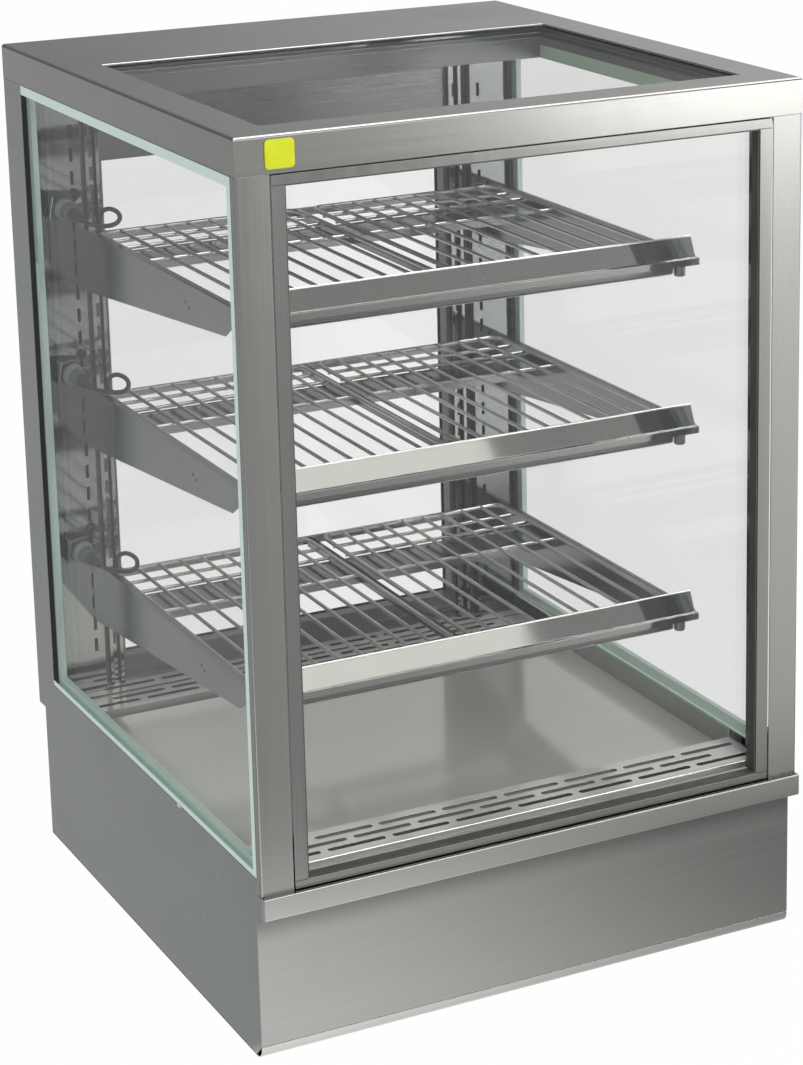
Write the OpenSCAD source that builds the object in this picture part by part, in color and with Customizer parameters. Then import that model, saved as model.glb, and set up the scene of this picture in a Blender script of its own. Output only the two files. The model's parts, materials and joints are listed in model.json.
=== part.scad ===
// Hot food merchandiser: a heated counter cabinet with a glass top, double-glazed sides,
// a framed front glass that tips forward, a hinged rear door and hooked-on wire shelves with lamps.
// Lengths in millimetres. +X to the right, +Y to the rear, +Z up.

/* [Cabinet] */
// Overall width over the side panels
cabinet_w = 600; // [560:10:760]
// Overall depth from the post faces to the rear edge
cabinet_d = 640; // [620:10:760]
// Overall height
cabinet_h = 904; // [890:5:1000]
// Thickness of the folded sheet
sheet_t = 1.2; // [1:0.1:1.5]
// Air between pieces that are fitted side by side
seam = 0.3; // [0.2:0.05:0.4]

/* [Base] */
// Height of the base below the front lip
base_h = 153; // [145:1:170]
// How far the base front lies behind the posts
base_setback = 14; // [10:1:20]
// How far the upper body hangs over the base at the rear
rear_overhang = 20; // [19:1:26]
// Outer radius of the bend along the bottom front edge
base_bend_r = 12; // [8:1:16]
// Height of the floor tray's turned-up front edge
base_upstand_h = 14; // [13:1:20]
// Height of the front lip
lip_h = 23; // [20:1:28]
// How far the front lip stands out of the post faces
lip_out = 6.5; // [4:0.5:9]
// Height of the sill from the base to the side glass
sill_h = 38; // [34:1:44]

/* [Posts and side glass] */
// Width of a front post's face
post_w = 33.6; // [30:0.2:38]
// Width of the post's closed corner tube
post_tube_w = 16; // [14:1:18]
// Depth of the post's side face
post_d = 10; // [8:1:14]
// Width of the plain strip behind the side glass
rear_strip_w = 55; // [52:1:62]
// Width of the rear return of a side panel
rear_return_w = 26; // [20:1:27]
// Thickness of the outer side pane
pane_outer_t = 6; // [5:1:6]
// Gap between the two side panes
pane_gap = 6; // [5:1:6]
// Thickness of the inner side pane
pane_inner_t = 4; // [3:1:4]
// Width of the edge band between the panes
spacer_w = 11; // [8:1:14]
// Play around the edge of the side glass
pane_play = 0.8; // [0.5:0.1:0.9]

/* [Top] */
// Height of the top frame
top_h = 36; // [30:1:44]
// Width of the top frame at the sides
top_side_w = 44; // [38:1:60]
// Width of the top frame at the front
top_front_w = 45; // [38:1:60]
// Width of the top frame at the rear
top_rear_w = 190; // [150:5:220]
// Width of the ledge that carries the top glass
top_ledge_w = 8; // [6:1:12]
// Thickness of the top glass
top_glass_t = 6; // [5:1:8]
// How far the top glass lies under the frame's face
top_glass_drop = 1.5; // [1:0.5:3]
// Play around the top glass
top_glass_play = 0.9; // [0.5:0.1:0.9]

/* [Front glass] */
// Gap between the framed front glass and a post
front_gap = 1.4; // [1.2:0.1:2]
// Face width of the frame's stiles
front_stile_w = 13.6; // [11:0.2:18]
// Face height of the frame's top rail
front_head_h = 9.5; // [8:0.5:14]
// Face height of the frame's bottom rail
front_foot_h = 8; // [7:0.5:12]
// Depth of the frame
front_frame_d = 19.6; // [18:0.2:24]
// Thickness of the front pane
front_pane_t = 6; // [5:1:8]
// Thickness of the dark gasket that lines the frame
gasket_t = 1.4; // [1:0.1:2]
// Radius of the pivot pins
pivot_r = 3; // [2.5:0.5:3.5]
// Radial running clearance of pins and shafts
running = 0.05; // [0.04:0.01:0.08]

/* [Rear] */
// Width of the inner wall from the side glass to the rear opening
rear_stile_w = 77; // [72:1:90]
// Height of the rear opening's lower edge above the base
rear_open_foot = 49; // [40:1:60]
// Distance from the rear opening's upper edge up to the top frame
rear_open_head = 95; // [80:1:120]
// Depth of the rear frame in front of the door
rear_frame_d = 16; // [12:1:18]
// Thickness of the rear door
door_t = 16; // [15:0.5:17]
// Radius of the rear door's hinge pins
hinge_r = 4; // [3:0.5:4.5]
// Thickness of the rear door's pane
door_pane_t = 5; // [4:1:6]

/* [Shelf supports] */
// Spacing of the hook slots
slot_pitch = 25.4; // [24:0.1:26]
// Height of a hook slot
slot_h = 15; // [14:0.5:16]
// Width of a hook slot
slot_w = 3.6; // [3.2:0.1:4.4]
// Height of the lowest slot's centre above the base
slot_first = 74.2; // [70:0.2:80]
// Slot that carries the bottom shelf, counted from the lowest
bottom_slot = 4; // [3:1:6]
// Slot that carries the middle shelf
middle_slot = 12; // [10:1:13]
// Slot that carries the top shelf
top_slot = 19; // [17:1:20]

/* [Shelves] */
// Air between the side glass and a shelf arm
shelf_side_gap = 37; // [36:1:44]
// Distance of the ticket rail's lip behind the post faces
shelf_front = 105; // [90:1:120]
// Depth of a shelf arm at the rear
arm_rear_h = 72; // [60:1:80]
// Depth of a shelf arm behind its front chamfer
arm_front_h = 32; // [26:1:40]
// Thickness of the arm plates
arm_t = 1.5; // [1.2:0.1:1.8]
// Height of the ticket rail above the shelf
rail_up = 18.5; // [14:0.5:24]
// Height of the ticket rail's lower lip
rail_lip_h = 7.5; // [6:0.5:9]
// Lean of the ticket rail's face from upright
rail_lean = 24; // [15:1:28]
// Diameter of the rack's edge rod
rack_rod_d = 5; // [4.5:0.1:5.5]
// Diameter of the rack's inner wires
rack_wire_d = 4; // [3.6:0.1:4.2]
// Spacing of the rack's wires
rack_pitch = 26.4; // [20:0.2:34]
// Depth of the lamp under the ticket rail
lamp_d = 26; // [20:1:30]
// Height of the lamp
lamp_h = 7.5; // [6:0.5:12]

/* [Deck] */
// Height of the deck pan's floor above the base
deck_floor = 14; // [12:1:18]
// Height of the front air grille above the base
front_grille_up = 29; // [24:0.5:31]
// Height of the rear air grille above the base
rear_grille_up = 19; // [18:0.5:22]
// Length of an air slot
air_slot_l = 62; // [40:1:70]
// Width of an air slot
air_slot_w = 7; // [5:0.5:8]
// Metal between the ends of two air slots
air_slot_web = 8; // [6:1:14]
// Spacing of the rows of air slots
air_row_pitch = 15.5; // [14:0.5:18]

/* [Heating] */
// Side of the square fan frame
fan_side = 120; // [100:5:130]
// Height of the fan frame
fan_h = 38; // [32:1:44]
// Diameter of the heating element's tube
element_d = 8; // [6.5:0.5:10]
// Diameter of the thermostat knob
knob_d = 40; // [30:1:44]

/* [Leads] */
// Diameter of a lamp lead
lead_d = 5; // [4.5:0.1:5.5]
// Side of a lamp socket's block
socket_side = 27; // [24:1:28]
// Downward tilt of a socket
socket_pitch = 16; // [12:1:22]
// Inward turn of a socket
socket_yaw = 20; // [14:1:22]

/* [Hidden] */
$fn = 48;

// Main planes, with Y measured from the post faces
half_w = cabinet_w / 2;
front_y = (lip_out - cabinet_d) / 2;
base_rear_y = cabinet_d - rear_overhang;
lip_top_z = base_h + lip_h;
glass_foot_z = base_h + sill_h;
body_top_z = cabinet_h - top_h;
inner_half = half_w - sheet_t - seam;
overrun = 1;

// Side glass
window_rear_y = cabinet_d - rear_strip_w;
window_front_y = post_d + seam;
unit_t = pane_outer_t + pane_gap + pane_inner_t;
glass_inner_half = half_w - unit_t;

// Front frame and its pivots
front_face_y = 0.4;
front_lift = 1;
pivot_lift = 26;
pivot_y = 5.8;
pivot_reach = 12;
bracket_h = 50;
bracket_rear_y = 16;
front_half = half_w - post_w - front_gap;
front_foot_z = lip_top_z + front_lift;
front_head_z = body_top_z - front_gap;
pivot_z = lip_top_z + pivot_lift;
bracket_half = half_w - post_w - seam;

// Rear frame, slotted panels and uprights
rear_frame_inset = 10;
gasket_flange_w = 38;
panel_depth = 14;
panel_inset = 29;
slot_head = 35;
upright_inset = 5;
upright_w = 16;
upright_d = 7;
upright_lip = 4;
upright_slot_w = 3;
rear_open_half = glass_inner_half - rear_stile_w;
rear_frame_y = base_rear_y - rear_frame_d;
rear_foot_z = base_h + rear_open_foot;
rear_head_z = body_top_z - rear_open_head;
rear_frame_half = half_w - rear_frame_inset;
panel_face_y = rear_frame_y - panel_depth - seam;
panel_in = rear_open_half + panel_inset;
panel_out = glass_inner_half - seam;
panel_foot_z = base_h + rear_grille_up + seam;
arm_half = glass_inner_half - shelf_side_gap;
slot_x = arm_half - arm_t / 2;
slot_first_z = base_h + slot_first;
slot_count = floor((body_top_z - slot_first_z - slot_head) / slot_pitch) + 1;
upright_in = rear_open_half + upright_inset;

// Rear door, its hinge pins and its pull
door_standoff = 2.5;
door_side_gap = 3;
door_foot_gap = 4.5;
door_head_gap = 4;
door_lap = 8;
door_sight_side = 5;
door_sight_foot = 4;
door_sight_head = 7;
door_gasket_in = 5;
door_gasket_w = 14;
door_flange_w = 24;
hinge_inset = 9;
hinge_back = 7.5;
hinge_reach = 8.5;
pull_w = 24;
pull_h = 120;
pull_flange = 4;
pull_depth = 11;
door_front_y = base_rear_y + door_standoff;
door_rear_y = door_front_y + door_t;
door_half = half_w - rear_return_w - door_side_gap;
door_foot_z = base_h + door_foot_gap;
door_head_z = body_top_z - door_head_gap;
door_glass_half = rear_open_half + door_sight_side;
door_glass_foot_z = rear_foot_z - door_sight_foot;
door_glass_head_z = rear_head_z + door_sight_head;
hinge_x = door_half - hinge_inset;
hinge_y = door_front_y + hinge_back;
pull_x = -(door_half + door_glass_half + door_lap) / 2;
pull_z = (door_foot_z + door_head_z) / 2;

// Deck
grille_front_y = 39.5;
grille_d = 63.5;
grille_fold_h = 12;
pan_lap = 10;
pan_setback = 115;
pan_slope_l = 27;
pan_hem_w = 3;
air_gap_w = 23;
air_slot_margin = 4;
air_row_inset = 16;
ridge_row_share = 1.75;
ridge_w = 8;
ridge_h = 2;
deck_half = glass_inner_half - seam;
grille_rear_y = grille_front_y + grille_d;
pan_rear_y = base_rear_y - pan_setback;
rear_grille_y = pan_rear_y + air_gap_w;
slots_wide = floor((2 * deck_half + air_slot_web - 2 * air_slot_margin) / (air_slot_l + air_slot_web));

// Shelf parts, with Z measured from the shelf's top plane
shelf_over_slot = 1.2;
arm_setback = 7.5;
arm_rear_gap = 1.5;
arm_flange_w = 5;
chamfer_run = 63;
nose_lap = 8;
support_z = 8;
support_t = 1.5;
rail_sheet_t = 1.5;
rail_step = 4;
rail_flange_d = 35;
rail_face_inset = 2.5;
channel_setback = 187;
channel_w = 64;
channel_fold_h = 8;
tie_setback = 49;
tie_w = 6;
center_bar_half = 6;
tongue_h = 7;
hook_drop = 6;
hook_gap = 2.5;
hook_t = 2;
lower_tongue_out = 3;
lower_tongue_slots = 2;
gusset_w = 18;
gusset_l = 12;
lamp_inset = 29;
lamp_setback = 3.5;
screw_inset = 19;
screw_setback = 8;
screw_r = 6;
screw_h = 10.5;
screw_bevel = 1.2;
rack_gap = 1;
rack_side_gap = 0.5;
rack_rear_gap = 1.5;
rack_setback = 17;
rack_corner_r = 14;
cross_rod_d = 4;
cross_rod_drop = 5.8;
cross_rod_shares = [0.03, 0.675, 0.84, 0.92];
arm_front_y = shelf_front + arm_setback;
arm_rear_y = panel_face_y - arm_rear_gap;
chamfer_foot_y = shelf_front + chamfer_run;
rail_flange_y = shelf_front + rail_flange_d;
rail_foot_z = -support_z - rail_sheet_t;
rail_lip_top_z = rail_foot_z + rail_lip_h;
rail_lean_y = (rail_up - rail_lip_top_z) * tan(rail_lean);
channel_y = panel_face_y - channel_setback;
tie_y = panel_face_y - tie_setback;
lamp_half = arm_half - lamp_inset;
lamp_y = shelf_front + lamp_setback;
screw_x = arm_half - screw_inset;
screw_y = shelf_front + screw_setback;
rack_in = center_bar_half + rack_gap;
rack_out = arm_half - arm_flange_w - rack_side_gap;
rack_front_y = shelf_front + rack_setback;
rack_rear_y = tie_y - rack_rear_gap;
shelf_slots = [bottom_slot, middle_slot, top_slot];

// Lamp sockets, collars, plugs and leads, measured from the shelf's top plane and the slotted panel's face
socket_beside_arm = 15;
socket_out = 16;
socket_ups = [14.5, 14.5, 20.5];
socket_block_l = 40;
socket_seal_t = 3;
socket_nose_r = 6;
collar_r = 12;
collar_l = 6;
plug_r = 9;
plug_l = 9;
boot_r = 6.5;
boot_end_r = 4;
boot_l = 19;
lead_sides = 8;
socket_x = -(arm_half + socket_beside_arm);
high_route = [[-252, -43, 12.5], [-250, -49, 10.5], [-246.5, -55, 9], [-241.5, -61, 8.5], [-236, -65.5, 8],
    [-229.5, -68.5, 8.5], [-223, -69, 10.5], [-218.5, -67, 14.5], [-218.5, -63.5, 19.5], [-222.5, -60, 23],
    [-227.5, -56.5, 24], [-232, -53, 21.5], [-234, -50, 16], [-234, -47, 10.5], [-233.5, -45, 5],
    [-233.5, -45, 0]];
low_route = [[-252, -43, 6.5], [-250, -49, 4.5], [-247, -56, 3.5], [-242, -64, 3.5], [-237, -69.5, 3.5],
    [-231, -73, 3.5], [-224.5, -73.5, 4.5], [-219.5, -71, 8], [-218.5, -67, 13], [-221.5, -62.5, 17],
    [-226.5, -58, 19], [-231, -54, 17.5], [-234, -50, 13.5], [-234, -47, 9], [-233.5, -45, 4.5],
    [-233.5, -45, 0]];
lead_routes = [low_route, low_route, high_route];

// Base equipment
plenum_drop = 53;
plenum_fold_h = 15;
fan_wall = 3.5;
fan_setback = 80;
fan_hub_r = 22;
fan_shaft_r = 2;
fan_boss_h = 5;
fan_strut_w = 4;
fan_blades = 7;
fan_blade_t = 2;
fan_blade_tilt = 35;
fan_tip_gap = 1.5;
element_span = 300;
element_leg = 60;
element_legs = 4;
element_y = 240;
element_up = 32;
element_post_w = 12;
element_post_t = 3;
control_w = 180;
control_h = 84;
control_inset = 150;
control_z = 78;
control_t = 1.5;
control_margin = 10;
knob_inset = 45;
knob_l = 14;
knob_shaft_r = 3;
knob_boss_r = 7;
knob_boss_l = 9;
knob_flutes = 12;
knob_flute_r = 2.5;
rocker_w = 12.4;
rocker_h = 17;
rocker_play = 0.4;
rocker_room = 1.5;
rocker_out = 3;
rocker_in = 5;
rocker_tilt = 8;
rocker_pin_r = 1.5;
rocker_wall = 1.6;
power_inset = 105;
light_inset = 145;
gland_inset = 100;
gland_z = 60;
gland_bore_r = 5;
gland_nose_r = 8;
gland_hex_r = 13;
gland_hex_l = 6;
gland_dome_r = 10;
gland_dome_l = 11;
gland_nut_l = 5;
plenum_z = base_h - plenum_drop;
fan_y = base_rear_y - fan_setback;
element_z = plenum_z + element_up;
control_x = control_inset - half_w;
knob_x = control_x + knob_inset;
power_x = control_x + power_inset;
light_x = control_x + light_inset;
gland_x = half_w - gland_inset;

// Badge on the top frame
badge_w = 29;
badge_h = 27;
badge_t = 1.5;
badge_inset = 44;
badge_corner_r = 4;
badge_x = badge_inset - half_w;

steel = [0.56, 0.56, 0.54];
bright_steel = [0.72, 0.72, 0.7];
glass_tint = [0.8, 0.92, 0.88, 0.3];
dark = [0.15, 0.15, 0.15];

// A block between two opposite corners
module block(low, high) {
    translate(low) cube(high - low);
}

// A flat rectangle between two opposite corners
module plate(low, high) {
    translate(low) square(high - low);
}

// A flat ring between an outer and an inner rectangle
module ring(low, high, in_low, in_high) {
    difference() {
        plate(low, high);
        plate(in_low, in_high);
    }
}

// Children are drawn in Y and Z and run along X
module along_x(x0, x1) {
    translate([x0, 0, 0]) rotate([90, 0, 90]) linear_extrude(x1 - x0) children();
}

// Children are drawn in X and Z and run along Y
module along_y(y0, y1) {
    translate([0, y1, 0]) rotate([90, 0, 0]) linear_extrude(y1 - y0) children();
}

// Children are drawn in X and Y and run along Z
module along_z(z0, z1) {
    translate([0, 0, z0]) linear_extrude(z1 - z0) children();
}

// A round bar along X, Y or Z
module bar_x(x0, x1, y, z, r) {
    translate([x0, y, z]) rotate([0, 90, 0]) cylinder(h = x1 - x0, r = r);
}
module bar_y(x, y0, y1, z, r) {
    translate([x, y1, z]) rotate([90, 0, 0]) cylinder(h = y1 - y0, r = r);
}

// Everything is placed from the post faces, and the origin is under the middle of the whole
module placed() {
    translate([0, front_y, 0]) children();
}

// The other side of the cabinet
module other_side() {
    mirror([1, 0, 0]) children();
}

// Base

module base_floor() {
    color(steel) placed() along_x(-half_w, half_w) {
        plate([base_setback + base_bend_r, 0], [base_rear_y, sheet_t]);
        plate([base_setback, base_bend_r], [base_setback + sheet_t, base_upstand_h]);
        translate([base_setback + base_bend_r, base_bend_r]) intersection() {
            difference() {
                circle(base_bend_r);
                circle(base_bend_r - sheet_t);
            }
            plate([-base_bend_r, -base_bend_r], [0, 0]);
        }
    }
}

module base_front_panel() {
    color(steel) placed()
        block([-half_w, base_setback, base_upstand_h + seam], [half_w, base_setback + sheet_t, base_h]);
}

module base_rear_panel() {
    y0 = base_rear_y - sheet_t;
    cut_h = control_h / 2 - control_margin;
    color(steel) placed() difference() {
        block([-inner_half, y0, sheet_t + seam], [inner_half, base_rear_y, base_h - seam]);
        block([control_x + control_margin, y0 - overrun, control_z - cut_h],
            [control_x + control_w - control_margin, base_rear_y + overrun, control_z + cut_h]);
        bar_y(gland_x, y0 - overrun, base_rear_y + overrun, gland_z, gland_nose_r + seam);
    }
}

module side_panel() {
    skin_y = base_setback + sheet_t + seam;
    foot_z = sheet_t + seam;
    along_x(-half_w, -half_w + sheet_t) polygon([
        [skin_y + base_bend_r, foot_z], [base_rear_y, foot_z], [base_rear_y, base_h], [cabinet_d, base_h],
        [cabinet_d, body_top_z], [window_rear_y, body_top_z], [window_rear_y, glass_foot_z],
        [window_front_y, glass_foot_z], [window_front_y, lip_top_z - seam], [0, lip_top_z - seam],
        [0, base_h], [skin_y, base_h], [skin_y, foot_z + base_bend_r]]);
    block([-half_w, cabinet_d - sheet_t, base_h], [-half_w + rear_return_w, cabinet_d, body_top_z]);
    block([-half_w, window_rear_y, glass_foot_z - sheet_t],
        [-glass_inner_half, window_rear_y + sheet_t, body_top_z]);
    block([-half_w, window_front_y, glass_foot_z - sheet_t],
        [-glass_inner_half, window_rear_y + sheet_t, glass_foot_z]);
}

module side_panel_left() {
    color(steel) placed() side_panel();
}

module side_panel_right() {
    color(steel) placed() other_side() side_panel();
}

module front_lip() {
    sill_y = grille_front_y - seam;
    color(bright_steel) placed() {
        along_x(-half_w, half_w) difference() {
            plate([-lip_out, base_h], [0, lip_top_z]);
            plate([-lip_out + sheet_t, base_h + sheet_t], [overrun, lip_top_z - sheet_t]);
            difference() {
                plate([-lip_out - overrun, lip_top_z - sheet_t], [-lip_out + sheet_t, lip_top_z + overrun]);
                translate([-lip_out + sheet_t, lip_top_z - sheet_t]) circle(sheet_t);
            }
        }
        for (x = [-half_w, half_w - sheet_t])
            block([x, -lip_out + sheet_t / 2, base_h], [x + sheet_t, 0, lip_top_z - sheet_t / 2]);
        block([-inner_half, -sheet_t, base_h], [inner_half, base_setback + sheet_t, base_h + sheet_t]);
        block([-inner_half, -sheet_t, lip_top_z - sheet_t], [inner_half, sill_y, lip_top_z]);
        block([-deck_half, sill_y - sheet_t, lip_top_z - grille_fold_h], [deck_half, sill_y, lip_top_z]);
    }
}

// Posts

module front_post() {
    along_z(lip_top_z, body_top_z) {
        difference() {
            plate([-half_w, 0], [-half_w + post_tube_w, post_d]);
            plate([-half_w + sheet_t, sheet_t], [-half_w + post_tube_w - sheet_t, post_d - sheet_t]);
        }
        plate([-half_w, 0], [-half_w + post_w, sheet_t]);
    }
}

module front_post_left() {
    color(steel) placed() front_post();
}

module front_post_right() {
    color(steel) placed() other_side() front_post();
}

// Top

top_in_x = half_w - top_side_w;
top_in_y0 = top_front_w;
top_in_y1 = cabinet_d - top_rear_w;
ledge_z = cabinet_h - top_glass_drop - top_glass_t - seam;
ledge_x = top_in_x - top_ledge_w;
ledge_y0 = top_in_y0 + top_ledge_w;
ledge_y1 = top_in_y1 - top_ledge_w;

module top_frame() {
    color(steel) placed() {
        along_z(cabinet_h - sheet_t, cabinet_h)
            ring([-half_w, 0], [half_w, cabinet_d], [-top_in_x, top_in_y0], [top_in_x, top_in_y1]);
        along_z(body_top_z, cabinet_h)
            ring([-half_w, 0], [half_w, cabinet_d],
                [-half_w + sheet_t, sheet_t], [half_w - sheet_t, cabinet_d - sheet_t]);
        along_z(ledge_z - sheet_t, cabinet_h)
            ring([-top_in_x - sheet_t, top_in_y0 - sheet_t], [top_in_x + sheet_t, top_in_y1 + sheet_t],
                [-top_in_x, top_in_y0], [top_in_x, top_in_y1]);
        along_z(ledge_z - sheet_t, ledge_z)
            ring([-top_in_x - sheet_t, top_in_y0 - sheet_t], [top_in_x + sheet_t, top_in_y1 + sheet_t],
                [-ledge_x, ledge_y0], [ledge_x, ledge_y1]);
        along_z(body_top_z, ledge_z)
            ring([-ledge_x - sheet_t, ledge_y0 - sheet_t], [ledge_x + sheet_t, ledge_y1 + sheet_t],
                [-ledge_x, ledge_y0], [ledge_x, ledge_y1]);
    }
}

module top_liner() {
    rim = sheet_t + seam;
    color(steel) placed() along_z(body_top_z, body_top_z + sheet_t)
        ring([-inner_half, rim], [inner_half, cabinet_d - rim], [-ledge_x - rim, ledge_y0 - rim],
            [ledge_x + rim, ledge_y1 + rim]);
}

module top_glass() {
    color(glass_tint) placed() block([-top_in_x + top_glass_play, top_in_y0 + top_glass_play, ledge_z + seam],
        [top_in_x - top_glass_play, top_in_y1 - top_glass_play, ledge_z + seam + top_glass_t]);
}

module badge_plate() {
    z0 = cabinet_h - top_h / 2 - badge_h / 2;
    inset = badge_corner_r;
    color([0.85, 0.89, 0.22]) placed() along_y(-badge_t, 0) {
        plate([badge_x - badge_w / 2 + inset, z0], [badge_x + badge_w / 2 - inset, z0 + badge_h]);
        plate([badge_x - badge_w / 2, z0 + inset], [badge_x + badge_w / 2, z0 + badge_h - inset]);
        for (sx = [-1, 1], sz = [-1, 1])
            translate([badge_x + sx * (badge_w / 2 - inset), z0 + badge_h / 2 + sz * (badge_h / 2 - inset)])
                circle(inset);
    }
}

// Side glass

pane_y0 = window_front_y + pane_play;
pane_y1 = window_rear_y - pane_play;
pane_z0 = glass_foot_z + pane_play;
pane_z1 = body_top_z - pane_play;

module side_glass() {
    block([-half_w, pane_y0, pane_z0], [-half_w + pane_outer_t, pane_y1, pane_z1]);
    block([-glass_inner_half - pane_inner_t, pane_y0, pane_z0], [-glass_inner_half, pane_y1, pane_z1]);
}

module side_spacer() {
    along_x(-half_w + pane_outer_t, -half_w + pane_outer_t + pane_gap)
        ring([pane_y0, pane_z0], [pane_y1, pane_z1], [pane_y0 + spacer_w, pane_z0 + spacer_w],
            [pane_y1 - spacer_w, pane_z1 - spacer_w]);
}

module side_glass_left() {
    color(glass_tint) placed() side_glass();
}

module side_glass_right() {
    color(glass_tint) placed() other_side() side_glass();
}

module side_spacer_left() {
    color([0.78, 0.88, 0.85]) placed() side_spacer();
}

module side_spacer_right() {
    color([0.78, 0.88, 0.85]) placed() other_side() side_spacer();
}

// Rear frame, slotted panels and uprights

module rear_frame() {
    open_low = [-rear_open_half, rear_foot_z];
    open_high = [rear_open_half, rear_head_z];
    wall = [sheet_t, sheet_t];
    flange = [gasket_flange_w, gasket_flange_w];
    low = [-rear_frame_half, base_h + sheet_t + 2 * seam];
    high = [rear_frame_half, body_top_z - seam];
    color(steel) placed() {
        along_y(rear_frame_y, rear_frame_y + sheet_t) ring(low, high, open_low, open_high);
        along_y(rear_frame_y, base_rear_y) ring(open_low - wall, open_high + wall, open_low, open_high);
        along_y(rear_frame_y, base_rear_y) ring(low, high, low + wall, high - wall);
        along_y(base_rear_y - sheet_t, base_rear_y)
            ring(open_low - flange, open_high + flange, open_low, open_high);
        block([-inner_half, rear_frame_y, base_h + seam],
            [inner_half, cabinet_d - sheet_t - seam, base_h + seam + sheet_t]);
        block([-rear_frame_half, rear_frame_y, base_h + seam],
            [rear_frame_half, rear_frame_y + sheet_t, panel_foot_z]);
    }
}

module slotted_panel() {
    skin_y = panel_face_y + sheet_t;
    slot_low = [-slot_x - slot_w / 2, panel_face_y - overrun];
    slot_high = [-slot_x + slot_w / 2, skin_y + overrun];
    difference() {
        along_z(panel_foot_z, body_top_z - seam) {
            plate([-panel_out, panel_face_y], [-panel_in, skin_y]);
            plate([-panel_out, panel_face_y], [-panel_out + sheet_t, rear_frame_y - seam]);
            plate([-panel_in - sheet_t, panel_face_y], [-panel_in, rear_frame_y - seam]);
        }
        for (k = [0 : slot_count - 1])
            along_z(slot_first_z + k * slot_pitch - slot_h / 2, slot_first_z + k * slot_pitch + slot_h / 2)
                plate(slot_low, slot_high);
    }
}

module slotted_panel_left() {
    color(steel) placed() slotted_panel();
}

module slotted_panel_right() {
    color(steel) placed() other_side() slotted_panel();
}

module upright() {
    y1 = rear_frame_y - seam;
    y0 = y1 - upright_d;
    x0 = -upright_in - upright_w;
    mid = -upright_in - upright_w / 2;
    difference() {
        along_z(panel_foot_z, body_top_z - seam) {
            difference() {
                plate([x0, y0], [-upright_in, y1]);
                plate([x0 + sheet_t, y0 + sheet_t], [-upright_in - sheet_t, y1 - sheet_t]);
                plate([x0 + upright_lip, y0 - overrun], [-upright_in - upright_lip, y0 + 2 * sheet_t]);
            }
        }
        for (k = [0 : slot_count - 1])
            along_z(slot_first_z + k * slot_pitch - slot_h / 2, slot_first_z + k * slot_pitch + slot_h / 2)
                plate([mid - upright_slot_w / 2, y1 - sheet_t - overrun],
                    [mid + upright_slot_w / 2, y1 + overrun]);
    }
}

module upright_left() {
    color(bright_steel) placed() upright();
}

module upright_right() {
    color(bright_steel) placed() other_side() upright();
}

// Deck

// One row of round-ended air slots in X and Y, centred on the cabinet
module air_slots(count, y) {
    pitch = air_slot_l + air_slot_web;
    r = air_slot_w / 2;
    for (k = [0 : count - 1]) {
        x = (k - (count - 1) / 2) * pitch;
        plate([x - air_slot_l / 2 + r, y - r], [x + air_slot_l / 2 - r, y + r]);
        for (side = [-1, 1]) translate([x + side * (air_slot_l / 2 - r), y]) circle(r);
    }
}

module deck_pan() {
    floor_z = base_h + deck_floor;
    hem_z = base_h + rear_grille_up;
    front_y0 = grille_rear_y - pan_lap;
    color(bright_steel) placed() {
        along_x(-deck_half, deck_half) polygon([
            [front_y0, floor_z - sheet_t], [pan_rear_y - pan_slope_l, floor_z - sheet_t],
            [pan_rear_y - pan_hem_w, hem_z - sheet_t], [pan_rear_y, hem_z - sheet_t],
            [pan_rear_y, hem_z], [pan_rear_y - pan_hem_w, hem_z], [pan_rear_y - pan_slope_l, floor_z],
            [front_y0 + sheet_t, floor_z], [front_y0 + sheet_t, base_h + front_grille_up - sheet_t - seam],
            [front_y0, base_h + front_grille_up - sheet_t - seam]]);
        for (x = [-deck_half, deck_half - sheet_t])
            block([x, grille_rear_y + seam, floor_z - sheet_t], [x + sheet_t, pan_rear_y, glass_foot_z]);
    }
}

module front_air_grille() {
    top_z = base_h + front_grille_up;
    row_y = grille_front_y + air_row_inset;
    color(steel) placed() {
        along_z(top_z - sheet_t, top_z) difference() {
            plate([-deck_half, grille_front_y], [deck_half, grille_rear_y]);
            for (row = [0 : 2]) air_slots(slots_wide - row % 2, row_y + row * air_row_pitch);
        }
        block([-deck_half, grille_front_y, top_z - grille_fold_h],
            [deck_half, grille_front_y + sheet_t, top_z]);
    }
}

module rear_air_grille() {
    top_z = base_h + rear_grille_up;
    y1 = rear_frame_y - seam;
    row_y = rear_grille_y + air_row_inset;
    ridge_y = row_y + ridge_row_share * air_row_pitch;
    color(steel) placed() {
        along_z(top_z - sheet_t, top_z) difference() {
            plate([-deck_half, rear_grille_y], [deck_half, y1]);
            for (row = [0, 1, 3]) air_slots(slots_wide - row % 2, row_y + row * air_row_pitch);
        }
        block([-deck_half, rear_grille_y, top_z - grille_fold_h],
            [deck_half, rear_grille_y + sheet_t, top_z]);
        block([-deck_half, ridge_y, top_z - sheet_t], [deck_half, ridge_y + ridge_w, top_z + ridge_h]);
    }
}

// Front glass that tips forward on two pins

pane_front_y = front_face_y + front_frame_d - front_pane_t;
front_open_half = front_half - front_stile_w;
front_open_z0 = front_foot_z + front_foot_h;
front_open_z1 = front_head_z - front_head_h;

module front_glass_frame() {
    color(steel) placed() {
        along_y(front_face_y, front_face_y + front_frame_d)
            ring([-front_half, front_foot_z], [front_half, front_head_z], [-front_open_half, front_open_z0],
                [front_open_half, front_open_z1]);
        bar_x(-front_half - pivot_reach, -front_half + overrun, pivot_y, pivot_z, pivot_r);
        bar_x(front_half - overrun, front_half + pivot_reach, pivot_y, pivot_z, pivot_r);
    }
}

module front_glass() {
    color(glass_tint) placed() block([-front_open_half + seam, pane_front_y, front_open_z0 + seam],
        [front_open_half - seam, pane_front_y + front_pane_t, front_open_z1 - seam]);
}

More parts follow.
